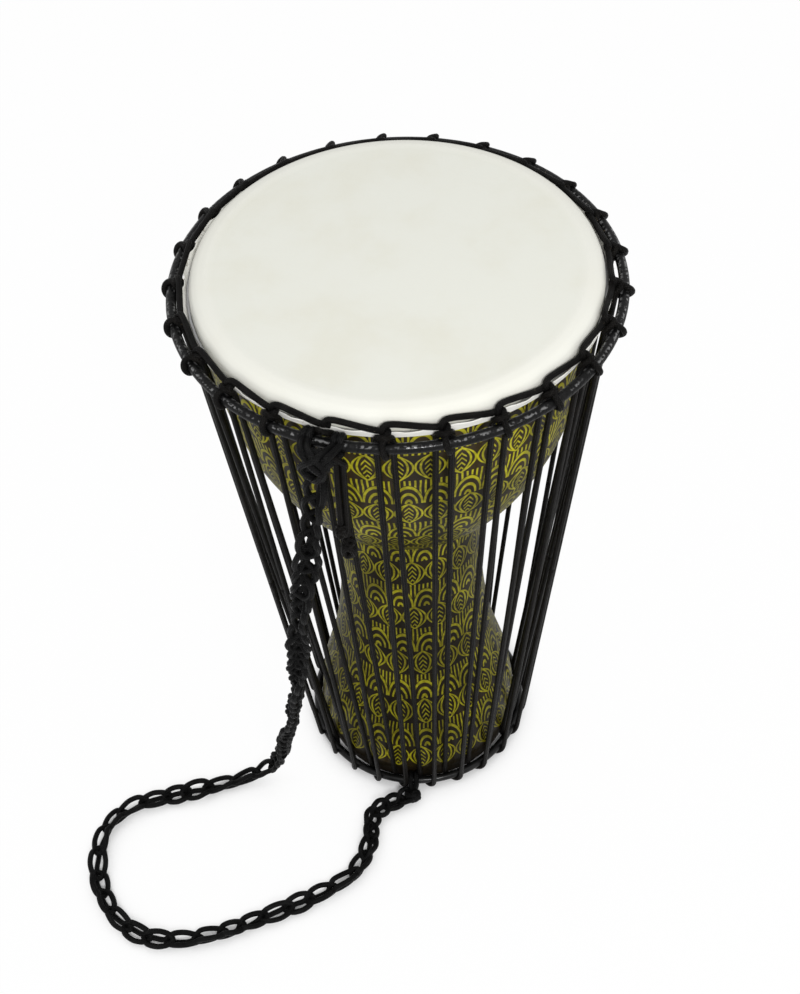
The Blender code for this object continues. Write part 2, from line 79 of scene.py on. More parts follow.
forward = Vector((math.sin(CAMERA_PAN) * math.cos(CAMERA_TILT),
                  math.cos(CAMERA_PAN) * math.cos(CAMERA_TILT),
                  -math.sin(CAMERA_TILT)))
level = Vector((math.cos(CAMERA_PAN), -math.sin(CAMERA_PAN), 0.0))
below = forward.cross(level)
right = level * math.cos(CAMERA_ROLL) + below * math.sin(CAMERA_ROLL)
down = below * math.cos(CAMERA_ROLL) - level * math.sin(CAMERA_ROLL)
camera_data = bpy.data.cameras.new("camera")
camera_data.sensor_width = SENSOR
camera_data.lens = SENSOR * FOCAL_LENGTH_PIXELS / IMAGE_HEIGHT_PIXELS
camera = placed("camera", camera_data)
camera_axes = Matrix((right, -down, -forward)).transposed().to_4x4()
camera.matrix_world = Matrix.Translation(CAMERA_PLACE) @ camera_axes
bpy.context.scene.camera = camera
print("camera lens:", round(camera_data.lens, 2), "mm")

# %% [markdown]
# Every rope goes by the hoop and the foot ring, so those two are measured first. A ring's own points
# give the radius and height of its centre line and the thickness of its rod.

# %% Measure the hoop and the foot ring
def ring_measures(node):
    points = [vertex.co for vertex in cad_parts[node].data.vertices]
    radii = [point.xy.length for point in points]
    heights = [point.z for point in points]
    rod = (max(heights) - min(heights)) / 2
    return (max(radii) + min(radii)) / 2, (max(heights) + min(heights)) / 2, rod


hoop_radius, hoop_height, hoop_rod = ring_measures("top_hoop")
ring_radius, ring_height, ring_rod = ring_measures("bottom_ring")
print("hoop:", hoop_radius, hoop_height, hoop_rod, "foot ring:", ring_radius, ring_height, ring_rod)

# %% [markdown]
# A place on the drum is easiest to say by its station. There are 25 stations, one for each hitch on the
# hoop. At a station a point is so far along the hoop, so far outwards and so far up from its rod.

# %% Places round the hoop and the foot ring
STATIONS = 25
FIRST_STATION = math.radians(5.8)
STATION_STEP = 2 * math.pi / STATIONS
ROPE_RADIUS = 0.0019
CLEARANCE = 0.0003
hoop_wrap = hoop_rod + CLEARANCE + ROPE_RADIUS
ring_wrap = ring_rod + CLEARANCE + ROPE_RADIUS


def station_angle(station):
    return FIRST_STATION + station * STATION_STEP


def on_circle(angle, along, radius, height, reference):
    turned_to = angle + along / reference
    return Vector((radius * math.cos(turned_to), radius * math.sin(turned_to), height))


def at_hoop(station, along, outwards, up):
    return on_circle(station_angle(station), along, hoop_radius + outwards, hoop_height + up, hoop_radius)


def round_hoop(station, along, turn, distance):
    turn = math.radians(turn)
    return at_hoop(station, along, distance * math.cos(turn), distance * math.sin(turn))


def round_ring(angle, along, turn, distance):
    turn = math.radians(turn)
    radius = ring_radius + distance * math.cos(turn)
    return on_circle(angle, along, radius, ring_height + distance * math.sin(turn), ring_radius)


print("one station is", round(1000 * STATION_STEP * hoop_radius, 1), "mm along the hoop")

# %% [markdown]
# The shoulder strap is the drum's one long free cord. It hangs from a knot on the hoop, lies on the
# floor in a loop and ends in a knot on the foot ring. Its way is given by a few points, first by angle,
# distance outside the ropes and share of the hoop's height, and then by place on the floor.

# %% The strap's points
STRAP_STATION = 17
STRAP_KNOT_OFFSET = 0.0010
STRAP_KNOT_SIZE = Vector((0.0110, 0.0064, 0.0120))
RING_KNOT_ANGLE = math.radians(265.0)
RING_KNOT_RADIUS = 0.0070
STRAP_RADIUS = 0.0070
STRAP_SPACING = 0.0280
STRAP_HANGS = (
    (250.4, 0.0130, 0.935), (249.0, 0.0175, 0.895), (247.0, 0.0245, 0.815), (244.1, 0.0290, 0.720),
    (240.9, 0.0320, 0.610), (236.4, 0.0330, 0.474), (230.5, 0.0350, 0.346), (223.8, 0.0370, 0.227),
    (216.9, 0.0420, 0.119), (210.5, 0.0515, 0.041),
)
STRAP_LIES = (
    (-0.1345, 0.0243), (-0.1615, 0.0173), (-0.1855, 0.0123), (-0.2095, 0.0073), (-0.2325, -0.0007),
    (-0.2425, -0.0167), (-0.2465, -0.0427), (-0.2415, -0.0667), (-0.2295, -0.0877), (-0.2105, -0.1037),
    (-0.1865, -0.1097), (-0.1605, -0.1087), (-0.1345, -0.1017), (-0.1005, -0.0897), (-0.0695, -0.0767),
    (-0.0475, -0.0627), (-0.0365, -0.0457), (-0.0355, -0.0287), (-0.0315, -0.0147), (-0.0215, -0.0047),
)

knot_reach = hoop_wrap + ROPE_RADIUS + CLEARANCE + STRAP_KNOT_SIZE[1]
strap_knot_centre = at_hoop(STRAP_STATION, STRAP_KNOT_OFFSET, knot_reach, 0.0)
ring_knot_reach = ring_radius + ring_wrap + ROPE_RADIUS + RING_KNOT_RADIUS
ring_knot_centre = on_circle(RING_KNOT_ANGLE, 0.0, ring_knot_reach, RING_KNOT_RADIUS + CLEARANCE, ring_radius)
print("knots:", strap_knot_centre, ring_knot_centre)

# %% [markdown]
# A curve through points can be a Bezier spline, whose handles need care, or a Catmull-Rom spline, which
# passes through every point by itself. The second is used, and then walked along in even steps, so that
# each stitch of the chain can be placed by its distance from the knot.

# %% A smooth line through points
CURVE_STEPS = 16


def smooth_line(knots, steps, closed=False):
    padded = [knots[-1], *knots, *knots[:2]] if closed else [knots[0], *knots, knots[-1]]
    line = []
    for before, start, end, after in zip(padded, padded[1:], padded[2:], padded[3:]):
        for step in range(steps):
            share = step / steps
            cubic = 3 * start - before - 3 * end + after
            square = 2 * before - 5 * start + 4 * end - after
            line.append(0.5 * (2 * start + (end - before) * share + square * share**2 + cubic * share**3))
    return line if closed else line + [knots[-1]]


class Walk:
    """A line measured from its start, so that a point on it can be asked for by distance."""

    def __init__(self, points):
        self.points = points
        self.reached = [0.0]
        for start, end in zip(points, points[1:]):
            self.reached.append(self.reached[-1] + (end - start).length)
        self.length = self.reached[-1]

    def at(self, distance):
        number = min(max(bisect_right(self.reached, distance) - 1, 0), len(self.points) - 2)
        span = self.reached[number + 1] - self.reached[number]
        return self.points[number].lerp(self.points[number + 1], (distance - self.reached[number]) / span)

    def evenly(self, spacing):
        count = max(2, round(self.length / spacing))
        return [self.at(self.length * step / count) for step in range(count + 1)]


print("a curve gets", CURVE_STEPS, "points for each stretch between given points")

# %% [markdown]
# The strap keeps the same points as its solid part, evenly spaced, so the fine chain lies just where
# the plain one does.

# %% The strap's centre line
def beside_ropes(degrees, distance, share):
    height = share * hoop_height
    widening = (hoop_radius + hoop_wrap - ring_radius - ring_wrap) / (hoop_height - ring_height)
    radius = ring_radius + ring_wrap + widening * (height - ring_height) + distance
    return on_circle(math.radians(degrees), 0.0, radius, height, hoop_radius)


strap_start = strap_knot_centre - Vector((0.0, 0.0, STRAP_KNOT_SIZE[2] + CLEARANCE))
lying = [Vector((ring_knot_centre.x + across, ring_knot_centre.y + towards, STRAP_RADIUS + CLEARANCE))
         for across, towards in STRAP_LIES]
away = (lying[-1] - ring_knot_centre).normalized()
strap_end = ring_knot_centre + away * (RING_KNOT_RADIUS + 2 * CLEARANCE)
strap_knots = [strap_start, *[beside_ropes(*hang) for hang in STRAP_HANGS], *lying, strap_end]
evenly_spaced = Walk(smooth_line(strap_knots, CURVE_STEPS)).evenly(STRAP_SPACING)
strap_line = Walk(smooth_line(evenly_spaced, CURVE_STEPS))
print("strap length:", round(strap_line.length, 4), "m")

# %% [markdown]
# Ropes and rods are tubes. A curve with a bevel would do, but a mesh built ring by ring can carry any UV
# map. A tube keeps a square-on cross direction along its line, so it doesn't twist. Its UV map counts
# rope girths both ways, which lets one braid pattern fit every rope.

# %% Tubes
ROPE_SIDES = 10


def uv_layer(shape):
    return shape.loops.layers.uv.get("UVMap") or shape.loops.layers.uv.new("UVMap")


def add_tube(shape, points, radius, sides=ROPE_SIDES, closed=False):
    """Adds a tube to a mesh, with flat ends unless it is closed."""
    uv = uv_layer(shape)
    before = [points[-1] if closed else points[0], *points[:-1]]
    after = [*points[1:], points[0] if closed else points[-1]]
    girth = 2 * math.pi * radius
    side = (after[0] - before[0]).orthogonal().normalized()
    rings, travelled = [], [0.0]
    for number, (last, point, following) in enumerate(zip(before, points, after)):
        tangent = (following - last).normalized()
        side = (side - tangent * side.dot(tangent)).normalized()
        other = tangent.cross(side)
        ring = []
        for step in range(sides):
            turn = 2 * math.pi * step / sides
            offset = side * math.cos(turn) + other * math.sin(turn)
            ring.append(shape.verts.new(point + offset * radius))
        rings.append(ring)
        if number:
            travelled.append(travelled[-1] + (point - points[number - 1]).length / girth)
    if closed:
        rings.append(rings[0])
        travelled.append(travelled[-1] + (points[0] - points[-1]).length / girth)
    for number, (ring, following) in enumerate(zip(rings, rings[1:])):
        for step in range(sides):
            beside = (step + 1) % sides
            face = shape.faces.new((ring[step], ring[beside], following[beside], following[step]))
            shares = ((step, number), (step + 1, number), (step + 1, number + 1), (step, number + 1))
            for loop, (share, place) in zip(face.loops, shares):
                loop[uv].uv = (share / sides, travelled[place])
    if not closed:
        shape.faces.new(rings[0][::-1])
        shape.faces.new(rings[-1])


print("a rope has", ROPE_SIDES, "sides")

# %% [markdown]
# A mesh has to become an object with a finish, and it must be said which solid parts it stands for and
# which body carries it. That is the same for every piece, so one helper does it.

# %% Pieces
def piece(name, shape, finish, slot, *nodes, body="drum"):
    """Makes an object of a mesh, gives it its finish and puts it in the place of solid parts."""
    mesh = bpy.data.meshes.new(name)
    shape.to_mesh(mesh)
    shape.free()
    mesh.shade_smooth()
    mesh.materials.append(finish)
    made = placed(name, mesh)
    if nodes:
        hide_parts(*nodes)
    if body:
        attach(made, body)
    print(name, len(mesh.vertices), "points")
    return made


# %% [markdown]
# A finish is a small web of nodes. Written as links it soon gets hard to read, so a small class turns it
# into sums. A Flow is a number that comes out of a node, and adding or multiplying Flows adds Math nodes.

# %% Sums of nodes
def maths(operation, swapped=False):
    """A method that puts a Flow, and what it is used with, through a Math node."""
    def method(flow, *others):
        values = (*others, flow) if swapped else (flow, *others)
        return flow.web.node("Math", {"operation": operation}, dict(enumerate(values)))
    return method


class Flow:
    """A number, colour or vector that comes out of a node."""

    def __init__(self, web, socket):
        self.web, self.socket = web, socket

    __add__ = __radd__ = maths("ADD")
    __mul__ = __rmul__ = maths("MULTIPLY")
    __sub__, __rsub__ = maths("SUBTRACT"), maths("SUBTRACT", swapped=True)
    __mod__, __rmod__ = maths("FLOORED_MODULO"), maths("FLOORED_MODULO", swapped=True)
    __abs__, floor, sine = maths("ABSOLUTE"), maths("FLOOR"), maths("SINE")
    power, larger, smaller = maths("POWER"), maths("MAXIMUM"), maths("MINIMUM")

    def rises(self, start, end):
        """0 below start and 1 above end, with a soft step between. It falls if start is above end."""
        sockets = {"Value": self, "From Min": start, "From Max": end}
        return self.web.node("MapRange", {"interpolation_type": "SMOOTHSTEP"}, sockets)


print("besides sums, a Flow has", [name for name in vars(Flow) if name[0] != "_"])

# %% [markdown]
# One method, node, makes every node: it sets the node's settings and feeds its sockets. A Finish is a
# material's web. It adds short words for what finishes often need, such as the UV map, a place on the
# piece, noise, a mix of two colours and a bump.

# %% Finishes
class Web:
    """A web of nodes that is being put together."""

    def __init__(self, tree):
        self.tree = tree

    def node(self, kind, settings=(), sockets=(), output=0):
        made = self.tree.nodes.new("ShaderNode" + kind)
        for name, value in dict(settings).items():
            setattr(made, name, value)
        for name, value in dict(sockets).items():
            self.feed(made.inputs[name], value)
        return Flow(self, made.outputs[output])

    def feed(self, socket, value):
        if isinstance(value, Flow):
            self.tree.links.new(value.socket, socket)
        else:
            socket.default_value = value


class Finish(Web):
    """The web of a material."""

    def __init__(self, name, **fixed):
        self.material = bpy.data.materials.new(name)
        self.material.use_nodes = True
        super().__init__(self.material.node_tree)
        self.shader = self.tree.nodes["Principled BSDF"]
        self.wear(**fixed)

    def uv(self):
        """The two numbers of the UV map."""
        split = self.node("SeparateXYZ", {}, {0: self.node("UVMap", {"uv_map": "UVMap"})})
        return split, Flow(self, split.socket.node.outputs[1])

    def place(self):
        return self.node("TexCoord", output="Object")

    def noise(self, scale, detail=2.0, roughness=0.5):
        sockets = {"Vector": self.place(), "Scale": scale, "Detail": detail, "Roughness": roughness}
        return self.node("TexNoise", {}, sockets)

    def shade(self, mask, one, other):
        """One colour where the mask is 0 and the other where it is 1."""
        return self.node("Mix", {"data_type": "RGBA"}, {0: mask, 6: one, 7: other}, 2)

    def wear(self, **values):
        """Feeds Flows or plain values to the shader's sockets of these names."""
        for name, value in values.items():
            self.feed(self.shader.inputs[name.replace("_", " ").title().replace("Ior", "IOR")], value)

    def bump(self, height, distance, strength):
        sockets = {"Height": height, "Distance": distance, "Strength": strength}
        self.wear(normal=self.node("Bump", {}, sockets))


def grey(level, warm=0.0):
    return (level * (1 + warm), level, level * (1 - warm), 1.0)


print("half grey is the colour", grey(0.5))

# %% [markdown]
# All the cord on the drum is black with a braided cover. Close up, a braid is two sets of strands that
# run round the rope in opposite ways and go over and under each other. On the UV map those are two sets
# of slanted stripes. A chequered mask says which one is on top.

# %% Braided cord finish
STRANDS_ROUND = 8


def braided_cord(name, colour, highlight, roughness):
    finish = Finish(name, specular_ior_level=0.07)
    across, along = finish.uv()
    one = (across + along) * STRANDS_ROUND
    other = (across - along) * STRANDS_ROUND
    one_strand = ((one % 1.0) * math.pi).sine()
    other_strand = ((other % 1.0) * math.pi).sine()
    on_top = (one.floor() + other.floor()) % 2.0
    height = one_strand * on_top + other_strand * (1 - on_top)
    speckle = finish.noise(160.0, 3.0)
    # painted highlight: the crowns of the strands get the lighter highlight colour, broken up by noise
    painted_strand_highlight = height.rises(0.35, 1.0) * speckle.rises(0.3, 0.8)
    finish.wear(base_color=finish.shade(painted_strand_highlight, colour, highlight),
                roughness=roughness + 0.2 * (0.5 - height))
    finish.bump(height + 0.3 * speckle, 0.0004, 0.8)
    return finish.material


tension_cord = braided_cord("black braided cord", grey(0.0025, 0.15), grey(0.011, 0.15), 0.50)
lacing_cord = braided_cord("lacing cord", grey(0.0025, 0.08), grey(0.013, 0.08), 0.55)
strap_cord = braided_cord("strap cord", grey(0.0025), grey(0.013), 0.50)
print("cord finishes:", tension_cord.name, lacing_cord.name, strap_cord.name)

# %% [markdown]
# A chain sinnet is one rope in which each loop is pulled through the last. One stitch comes up through
# the loop before it, goes round and back, and passes behind to the next. Fourteen points say that way
# once, and the chain repeats it. Its stitches differ in size with their height above the floor.

# %% One stitch of the strap
STITCH = (  # along in stitches, sideways in half widths, height in rope radii
    (0.00, 0.00, -1.5), (0.20, -0.50, -0.5), (0.42, -0.84, 0.8), (0.80, -1.00, 0.6), (1.15, -0.80, 0.0),
    (1.36, -0.38, -0.4), (1.42, 0.00, -0.5), (1.36, 0.38, -0.4), (1.15, 0.80, 0.0), (0.80, 1.00, 0.6),
    (0.42, 0.84, 0.8), (0.20, 0.50, -0.5), (0.10, 0.10, -1.5), (0.50, 0.04, -2.0),
)
STITCH_STEPS = 4
CHAIN_WIDTHS = (  # height above the floor, a stitch's length and half its width
    (0.020, 0.0184, 0.0056), (0.060, 0.0104, 0.0050), (0.170, 0.0112, 0.0052), (0.260, 0.0140, 0.0060),
    (0.450, 0.0160, 0.0066),
)
UNEVENNESS = ((0.10, 1.9), (0.06, 5.3))  # how much a stitch's size varies, and how fast from one to the next


def stitch_size(point, number):
    """A stitch's length and half its width at a point, a little uneven as hand work is."""
    low, high = CHAIN_WIDTHS[0], CHAIN_WIDTHS[1]
    for following in CHAIN_WIDTHS[2:]:
        if point.z > high[0]:
            low, high = high, following
    share = min(max((point.z - low[0]) / (high[0] - low[0]), 0.0), 1.0)
    uneven = sum((amount * math.sin(rate * number) for amount, rate in UNEVENNESS), 1.0)
    return [uneven * (start + (end - start) * share) for start, end in zip(low[1:], high[1:])]


print("the strap's first stitch:", stitch_size(strap_line.at(0.0), 0))

# %% [markdown]
# The chain is wide under its knot, turns edge-on and draws tight lower down. On the floor its stitches are
# long, roll from side to side and show a hole each. So every point of the strap gets a sideways and a
# front direction of its own, and the stitch's points are laid out along those.

# %% The strap's chain
SWAY, SWAY_RATE = 0.25, 2.4
CHAIN_RADIUS = 0.0021
CHAIN_SIDES = 8
TANGENT_REACH = 0.003
LIES_BELOW, LIES_FADE = 0.05, 0.04
EDGE_ON_HEIGHT, EDGE_ON_REACH = 0.115, 0.100
EDGE_ON_TURN = math.radians(80)
FLOOR_ROLL = math.radians(32)
ROLLS_PER_METRE = 9.0
CHAIN_STARTS, CHAIN_OVERRUN = 0.0010, 0.0070
TIGHT_END, END_TIGHTENING = 0.055, 0.62


def chain_frame(distance):
    """The strap's point, sideways and front directions at a distance."""
    point = strap_line.at(distance)
    ahead, behind = strap_line.at(distance + TANGENT_REACH), strap_line.at(distance - TANGENT_REACH)
    tangent = (ahead - behind).normalized()
    lies = min(max((LIES_BELOW - point.z) / LIES_FADE, 0.0), 1.0)
    outwards = Vector((point.x, point.y, 0.0)).normalized()
    front = outwards.lerp(Vector((0.0, 0.0, 1.0)), lies)
    front = (front - tangent * front.dot(tangent)).normalized()
    edge_on = max(0.0, 1 - ((point.z - EDGE_ON_HEIGHT) / EDGE_ON_REACH) ** 2)
    roll = FLOOR_ROLL * math.sin(2 * math.pi * ROLLS_PER_METRE * distance)
    front.rotate(Matrix.Rotation(EDGE_ON_TURN * edge_on + roll, 3, tangent))
    return point, tangent.cross(front), front


def stitch_starts():
    """Where the stitches start, closed up a little so that the last one ends in the ring's knot."""
    starts, chain_end = [CHAIN_STARTS], strap_line.length + CHAIN_OVERRUN
    while starts[-1] < chain_end:
        drawn_tight = END_TIGHTENING if starts[-1] > chain_end - TIGHT_END else 1.0
        starts.append(starts[-1] + drawn_tight * stitch_size(strap_line.at(starts[-1]), len(starts))[0])
    closing = (chain_end - CHAIN_STARTS) / (starts[-1] - CHAIN_STARTS)
    return [CHAIN_STARTS + (start - CHAIN_STARTS) * closing for start in starts]


chain_starts = stitch_starts()
chain_knots = []
for number, (start, following) in enumerate(zip(chain_starts, chain_starts[1:])):
    for along, sideways, height in STITCH:
        distance = min(start + along * (following - start), chain_starts[-1])
        point, aside, front = chain_frame(distance)
        half_width = stitch_size(point, number)[1]
        sway = SWAY * math.sin(SWAY_RATE * number)
        spot = point + aside * (sideways * half_width) + front * ((height + sway) * CHAIN_RADIUS)
        spot.z = max(spot.z, CHAIN_RADIUS + CLEARANCE)
        chain_knots.append(spot)
chain = bmesh.new()
add_tube(chain, smooth_line(chain_knots, STITCH_STEPS), CHAIN_RADIUS, CHAIN_SIDES)
shoulder_strap = piece("strap_chain", chain, strap_cord, "strap_cord", "shoulder_strap")
print("stitches:", len(chain_starts) - 1)

# %% [markdown]
# A knot in soft rope could be tied point by point, but what shows is a lump of rope that turns over
# itself in several directions. A line wound on an egg shape, whose axis tips over one way and then the
# other, gives just that. The line also goes deeper and shallower, so that its turns cross over and under.

# %% Wound knots
KNOT_STEPS = 22
KNOT_SWING = math.radians(205)
KNOT_LEAN = math.radians(50)
KNOT_DEPTH = 0.16
KNOT_LEAN_WAVES, KNOT_DEPTH_WAVES = 9, 2.6


def add_knot(shape, centre, axes, turns, radius=CHAIN_RADIUS):
    """Adds a rope wound on an egg shape with these half axes, given as three vectors."""
    inner = [axis * (1 - radius / axis.length) for axis in axes]
    line = []
    for step in range(turns * KNOT_STEPS + 1):
        turn = 2 * math.pi * step / KNOT_STEPS
        share = step / (turns * KNOT_STEPS)
        spot = Vector((math.cos(turn), math.sin(turn), 0.0))
        spot.rotate(Matrix.Rotation(KNOT_LEAN * math.sin(KNOT_LEAN_WAVES * share), 3, "X"))
        spot.rotate(Matrix.Rotation(KNOT_SWING * share, 3, "Y"))
        spot *= 1 - KNOT_DEPTH * (0.5 + 0.5 * math.sin(KNOT_DEPTH_WAVES * turn))
        line.append(centre + inner[0] * spot.x + inner[1] * spot.y + inner[2] * spot.z)
    add_tube(shape, line, radius, CHAIN_SIDES)


def knot_axes(angle, size):
    """Half axes across, outwards and upright for a knot at an angle round the drum."""
    across = Vector((-math.sin(angle), math.cos(angle), 0.0))
    outwards = Vector((math.cos(angle), math.sin(angle), 0.0))
    return [across * size[0], outwards * size[1], Vector((0.0, 0.0, size[2]))]


print("a wound knot has", KNOT_STEPS, "points in each turn")

# %% [markdown]
# The strap is tied to the hoop with doubled turns on each side of its knot, and to the foot ring with a
# smaller knot. At the hoop four strands come over the rod and cross on the front before they meet the
# chain. They are what shows, so their way is given, and a loosely wound rope fills the knot behind them.

# %% The strap's knots and their turns
LOOP_TURNS = (40, 75, 110, 145, 180, 215, 250, 285, 320)
LOOP_PINCH = 0.45
LOOP_TUCK = -20
CROSSING_STRANDS = {  # place along the hoop, then the strand's way in shares of the knot's half sizes
    -0.0104: ((0.10, 0.30, -1.15), (0.50, 0.75, -0.45), (0.05, 1.10, 0.20), (-0.62, 0.55, 0.80)),
    -0.0068: ((-0.30, 0.20, -1.20), (0.20, 0.90, -0.75), (0.55, 0.80, 0.00), (-0.15, 0.70, 0.85)),
    0.0070: ((0.30, 0.10, -1.20), (-0.30, 0.75, -0.70), (-0.60, 0.95, 0.00), (0.20, 0.95, 0.70)),
    0.0106: ((-0.10, 0.20, -1.15), (-0.55, 0.60, -0.40), (0.20, 0.75, 0.20), (0.72, 0.30, 0.60)),
}
KNOT_CORE_SHARE = 0.86
RING_KNOT_SIZE = (0.0072, 0.0062, 0.0054)
RING_TURN_OFFSET = 0.0022


def in_knot(shares, axes, centre):
    return centre + axes[0] * shares[0] + axes[1] * shares[1] + axes[2] * shares[2]


strap_angle = station_angle(STRAP_STATION)
top_axes = knot_axes(strap_angle, STRAP_KNOT_SIZE)
top_knot = bmesh.new()
for offset, strand in CROSSING_STRANDS.items():
    turns = [round_hoop(STRAP_STATION, offset, turn, hoop_wrap) for turn in LOOP_TURNS]
    tucked = STRAP_KNOT_OFFSET + LOOP_PINCH * (offset - STRAP_KNOT_OFFSET)
    shown = [in_knot(shares, top_axes, strap_knot_centre) for shares in strand]
    hidden = round_hoop(STRAP_STATION, tucked, LOOP_TUCK, knot_reach)
    add_tube(top_knot, smooth_line([*shown, *turns, hidden], steps=5), CHAIN_RADIUS, CHAIN_SIDES)
add_knot(top_knot, strap_knot_centre, [axis * KNOT_CORE_SHARE for axis in top_axes], turns=5)
strap_top_knot = piece("strap_knot_on_hoop", top_knot, strap_cord, "strap_cord", "strap_top_knot")

ring_knot = bmesh.new()
for along in (-RING_TURN_OFFSET, RING_TURN_OFFSET):
    turns = [round_ring(RING_KNOT_ANGLE, along, turn, ring_wrap) for turn in LOOP_TURNS]
    way = smooth_line([ring_knot_centre, *turns, ring_knot_centre], steps=3)
    add_tube(ring_knot, way, ROPE_RADIUS, CHAIN_SIDES)
add_knot(ring_knot, ring_knot_centre, knot_axes(RING_KNOT_ANGLE, RING_KNOT_SIZE), turns=6)
strap_ring_knot = piece("strap_knot_on_foot_ring", ring_knot, strap_cord, "strap_cord", "strap_ring_knot")
strap_line.evenly(0.004)

# %% [markdown]
# The tension rope's free end hangs from the strap's turns, doubled, and each of its two strands stops in
# a knot of its own. It is the same rope as the side ropes, so it takes their finish. The two strands lie
# on each side of one line, and lean round it a little as they go down. A short piece leads them out of
# the strap's knot, so that no cut end shows at the top.

# %% The rope's free end
TAIL_SHARE = 0.35
TAIL_DROPS = (0.0140, 0.0320, 0.0500, 0.0660)
TAIL_DRIFT = -0.0004
TAIL_KNOT_SIZE = (0.0056, 0.0050, 0.0108)
SHORT_KNOT_SIZE = (0.0042, 0.0040, 0.0070)
SHORT_STRAND = 0.78
TAIL_TWIST = math.radians(50)
TAIL_LEAD = ((0.10, 0.10, 0.20), (0.62, -0.75, -0.05))
LEAD_THICKNESS = 1.04
TAIL_OFFSET, TAIL_TUCK, TAIL_TURN = 0.0130, 0.0120, 285
TAIL_STANDS_OUT = 1.11

tail_turns = [round_hoop(STRAP_STATION, TAIL_OFFSET, TAIL_TURN, TAIL_STANDS_OUT * hoop_wrap),
              round_hoop(STRAP_STATION, STRAP_KNOT_OFFSET + LOOP_PINCH * TAIL_TUCK, LOOP_TUCK, knot_reach)]
tail_top = tail_turns[0].lerp(tail_turns[1], TAIL_SHARE) - Vector((0.0, 0.0, ROPE_RADIUS + 2 * CLEARANCE))
tail_aside = knot_axes(strap_angle, (1.0, 1.0, 1.0))[0]
tail_knots = [tail_top]
for number, drop in enumerate(TAIL_DROPS, 1):
    tail_knots.append(tail_top + tail_aside * (number * TAIL_DRIFT) - Vector((0.0, 0.0, drop)))
tail_line = smooth_line(tail_knots, steps=8)


def tail_strand(side_sign, share):
    """One strand of the doubled end, for this share of its length."""
    strand = []
    for number in range(round(share * (len(tail_line) - 1)) + 1):
        lean = Matrix.Rotation(TAIL_TWIST * number / len(tail_line), 3, "Z")
        strand.append(tail_line[number] + lean @ tail_aside * (side_sign * ROPE_RADIUS))
    return strand


strands = tail_strand(1, 1.0), tail_strand(-1, SHORT_STRAND)
tail = bmesh.new()
lead = bmesh.new()
knots = bmesh.new()
for strand, knot_size in zip(strands, (TAIL_KNOT_SIZE, SHORT_KNOT_SIZE)):
    add_tube(tail, strand, ROPE_RADIUS)
    from_knot = [in_knot(shares, top_axes, strap_knot_centre) for shares in TAIL_LEAD]
    add_tube(lead, smooth_line([*from_knot, strand[0], strand[2]], steps=5), LEAD_THICKNESS * ROPE_RADIUS)
    knot_centre = strand[-1] - Vector((0.0, 0.0, knot_size[2] + CLEARANCE))
    add_knot(knots, knot_centre, knot_axes(strap_angle, knot_size), turns=5, radius=ROPE_RADIUS)
rope_tail = piece("hanging_rope_end", tail, tension_cord, "tension_cord", "rope_tail")
tail_lead = piece("rope_end_lead_in", lead, tension_cord, "tension_cord")
tail_knot = piece("rope_end_knots", knots, tension_cord, "tension_cord", "tail_knot")
Walk(tail_line).length

# %% [markdown]
# The tension rope runs up and down the drum 25 times. At each station two legs hang inside the hoop,
# and between them the rope goes over the lacing in a low bight. Under the foot ring it turns and comes
# up at the next station. Its way is only a list of points, which the next cells make pieces of.

# %% The tension rope's way
LIP_CLEARANCE = 0.0046
BIGHT_TOP = 0.0074
BIGHT = (  # along in shares of its spread, then outwards and up from the hoop's rod in metres
    (-1.00, -0.0054, 0.0000), (-0.99, -0.0052, 0.0022), (-0.86, -0.0036, 0.0048), (-0.42, -0.0014, 0.0066),
    (0.00, -0.0007, 0.0074),
    (0.42, -0.0014, 0.0066), (0.86, -0.0036, 0.0048), (0.99, -0.0052, 0.0022), (1.00, -0.0054, 0.0000),
)
BIGHT_SPREAD = 0.0048
BACK_LEAN, BACK_SINK = 0.0022, 0.42
TURN_ANGLES = (180, 225, 270, 315, 360)
TURN_SQUASH = 0.86
FOOT_RADIUS = 0.0785
lip_bottom = ring_height + ring_rod + LIP_CLEARANCE


def backness(station):
    """0 at the drum's front and 1 at its back."""
    return 0.5 + 0.5 * math.sin(station_angle(station))


def bight(station):
    """The rope's way over the hoop. It lies lower and further in at the back."""
    back = backness(station)
    return [at_hoop(station, share * BIGHT_SPREAD, outwards - BACK_LEAN * back * up / BIGHT_TOP,
                    up * (1 - BACK_SINK * back)) for share, outwards, up in BIGHT]


def turn_under_ring(station):
    """The rope's turn under the foot ring, from this station's right leg to the next one's left leg."""
    angle = station_angle(station) + STATION_STEP / 2
    half = STATION_STEP / 4 * ring_radius
    points = [on_circle(angle, -half, FOOT_RADIUS + CLEARANCE + ROPE_RADIUS, lip_bottom, ring_radius)]
    for turn in TURN_ANGLES:
        points.append(round_ring(angle, half * (turn - 270) / 90, turn, ring_wrap * TURN_SQUASH))
    return points


def rope_way(first, last):
    """The way of the rope's stations first to last, with the half turns at both ends."""
    start, end = turn_under_ring(first - 1), turn_under_ring(last)
    points = [start[-3].lerp(start[-2], 0.5), *start[-2:]]
    for station in range(first, last):
        points += bight(station) + turn_under_ring(station)
    return points + bight(last) + end[:-2] + [end[-3].lerp(end[-2], 0.5)]


print("points of the rope's way at one station:", len(bight(0)) + len(turn_under_ring(0)))

# %% [markdown]
# Seventeen stations are never squeezed. Their rope is drawn in six long pieces, each in the place of one
# solid part. Straight stretches need few points. The bends could be a spline too, but corners that are
# each rounded on their own keep the legs between them straight.

# %% Ropes that stay still
BEND_STEPS = 4
SAME_PLACE = 1e-5
FIXED_SPACING = 0.03
FIXED_GROUPS = {1: (2, 4), 2: (5, 7), 3: (8, 10), 4: (15, 17), 5: (18, 20), 6: (21, 22)}


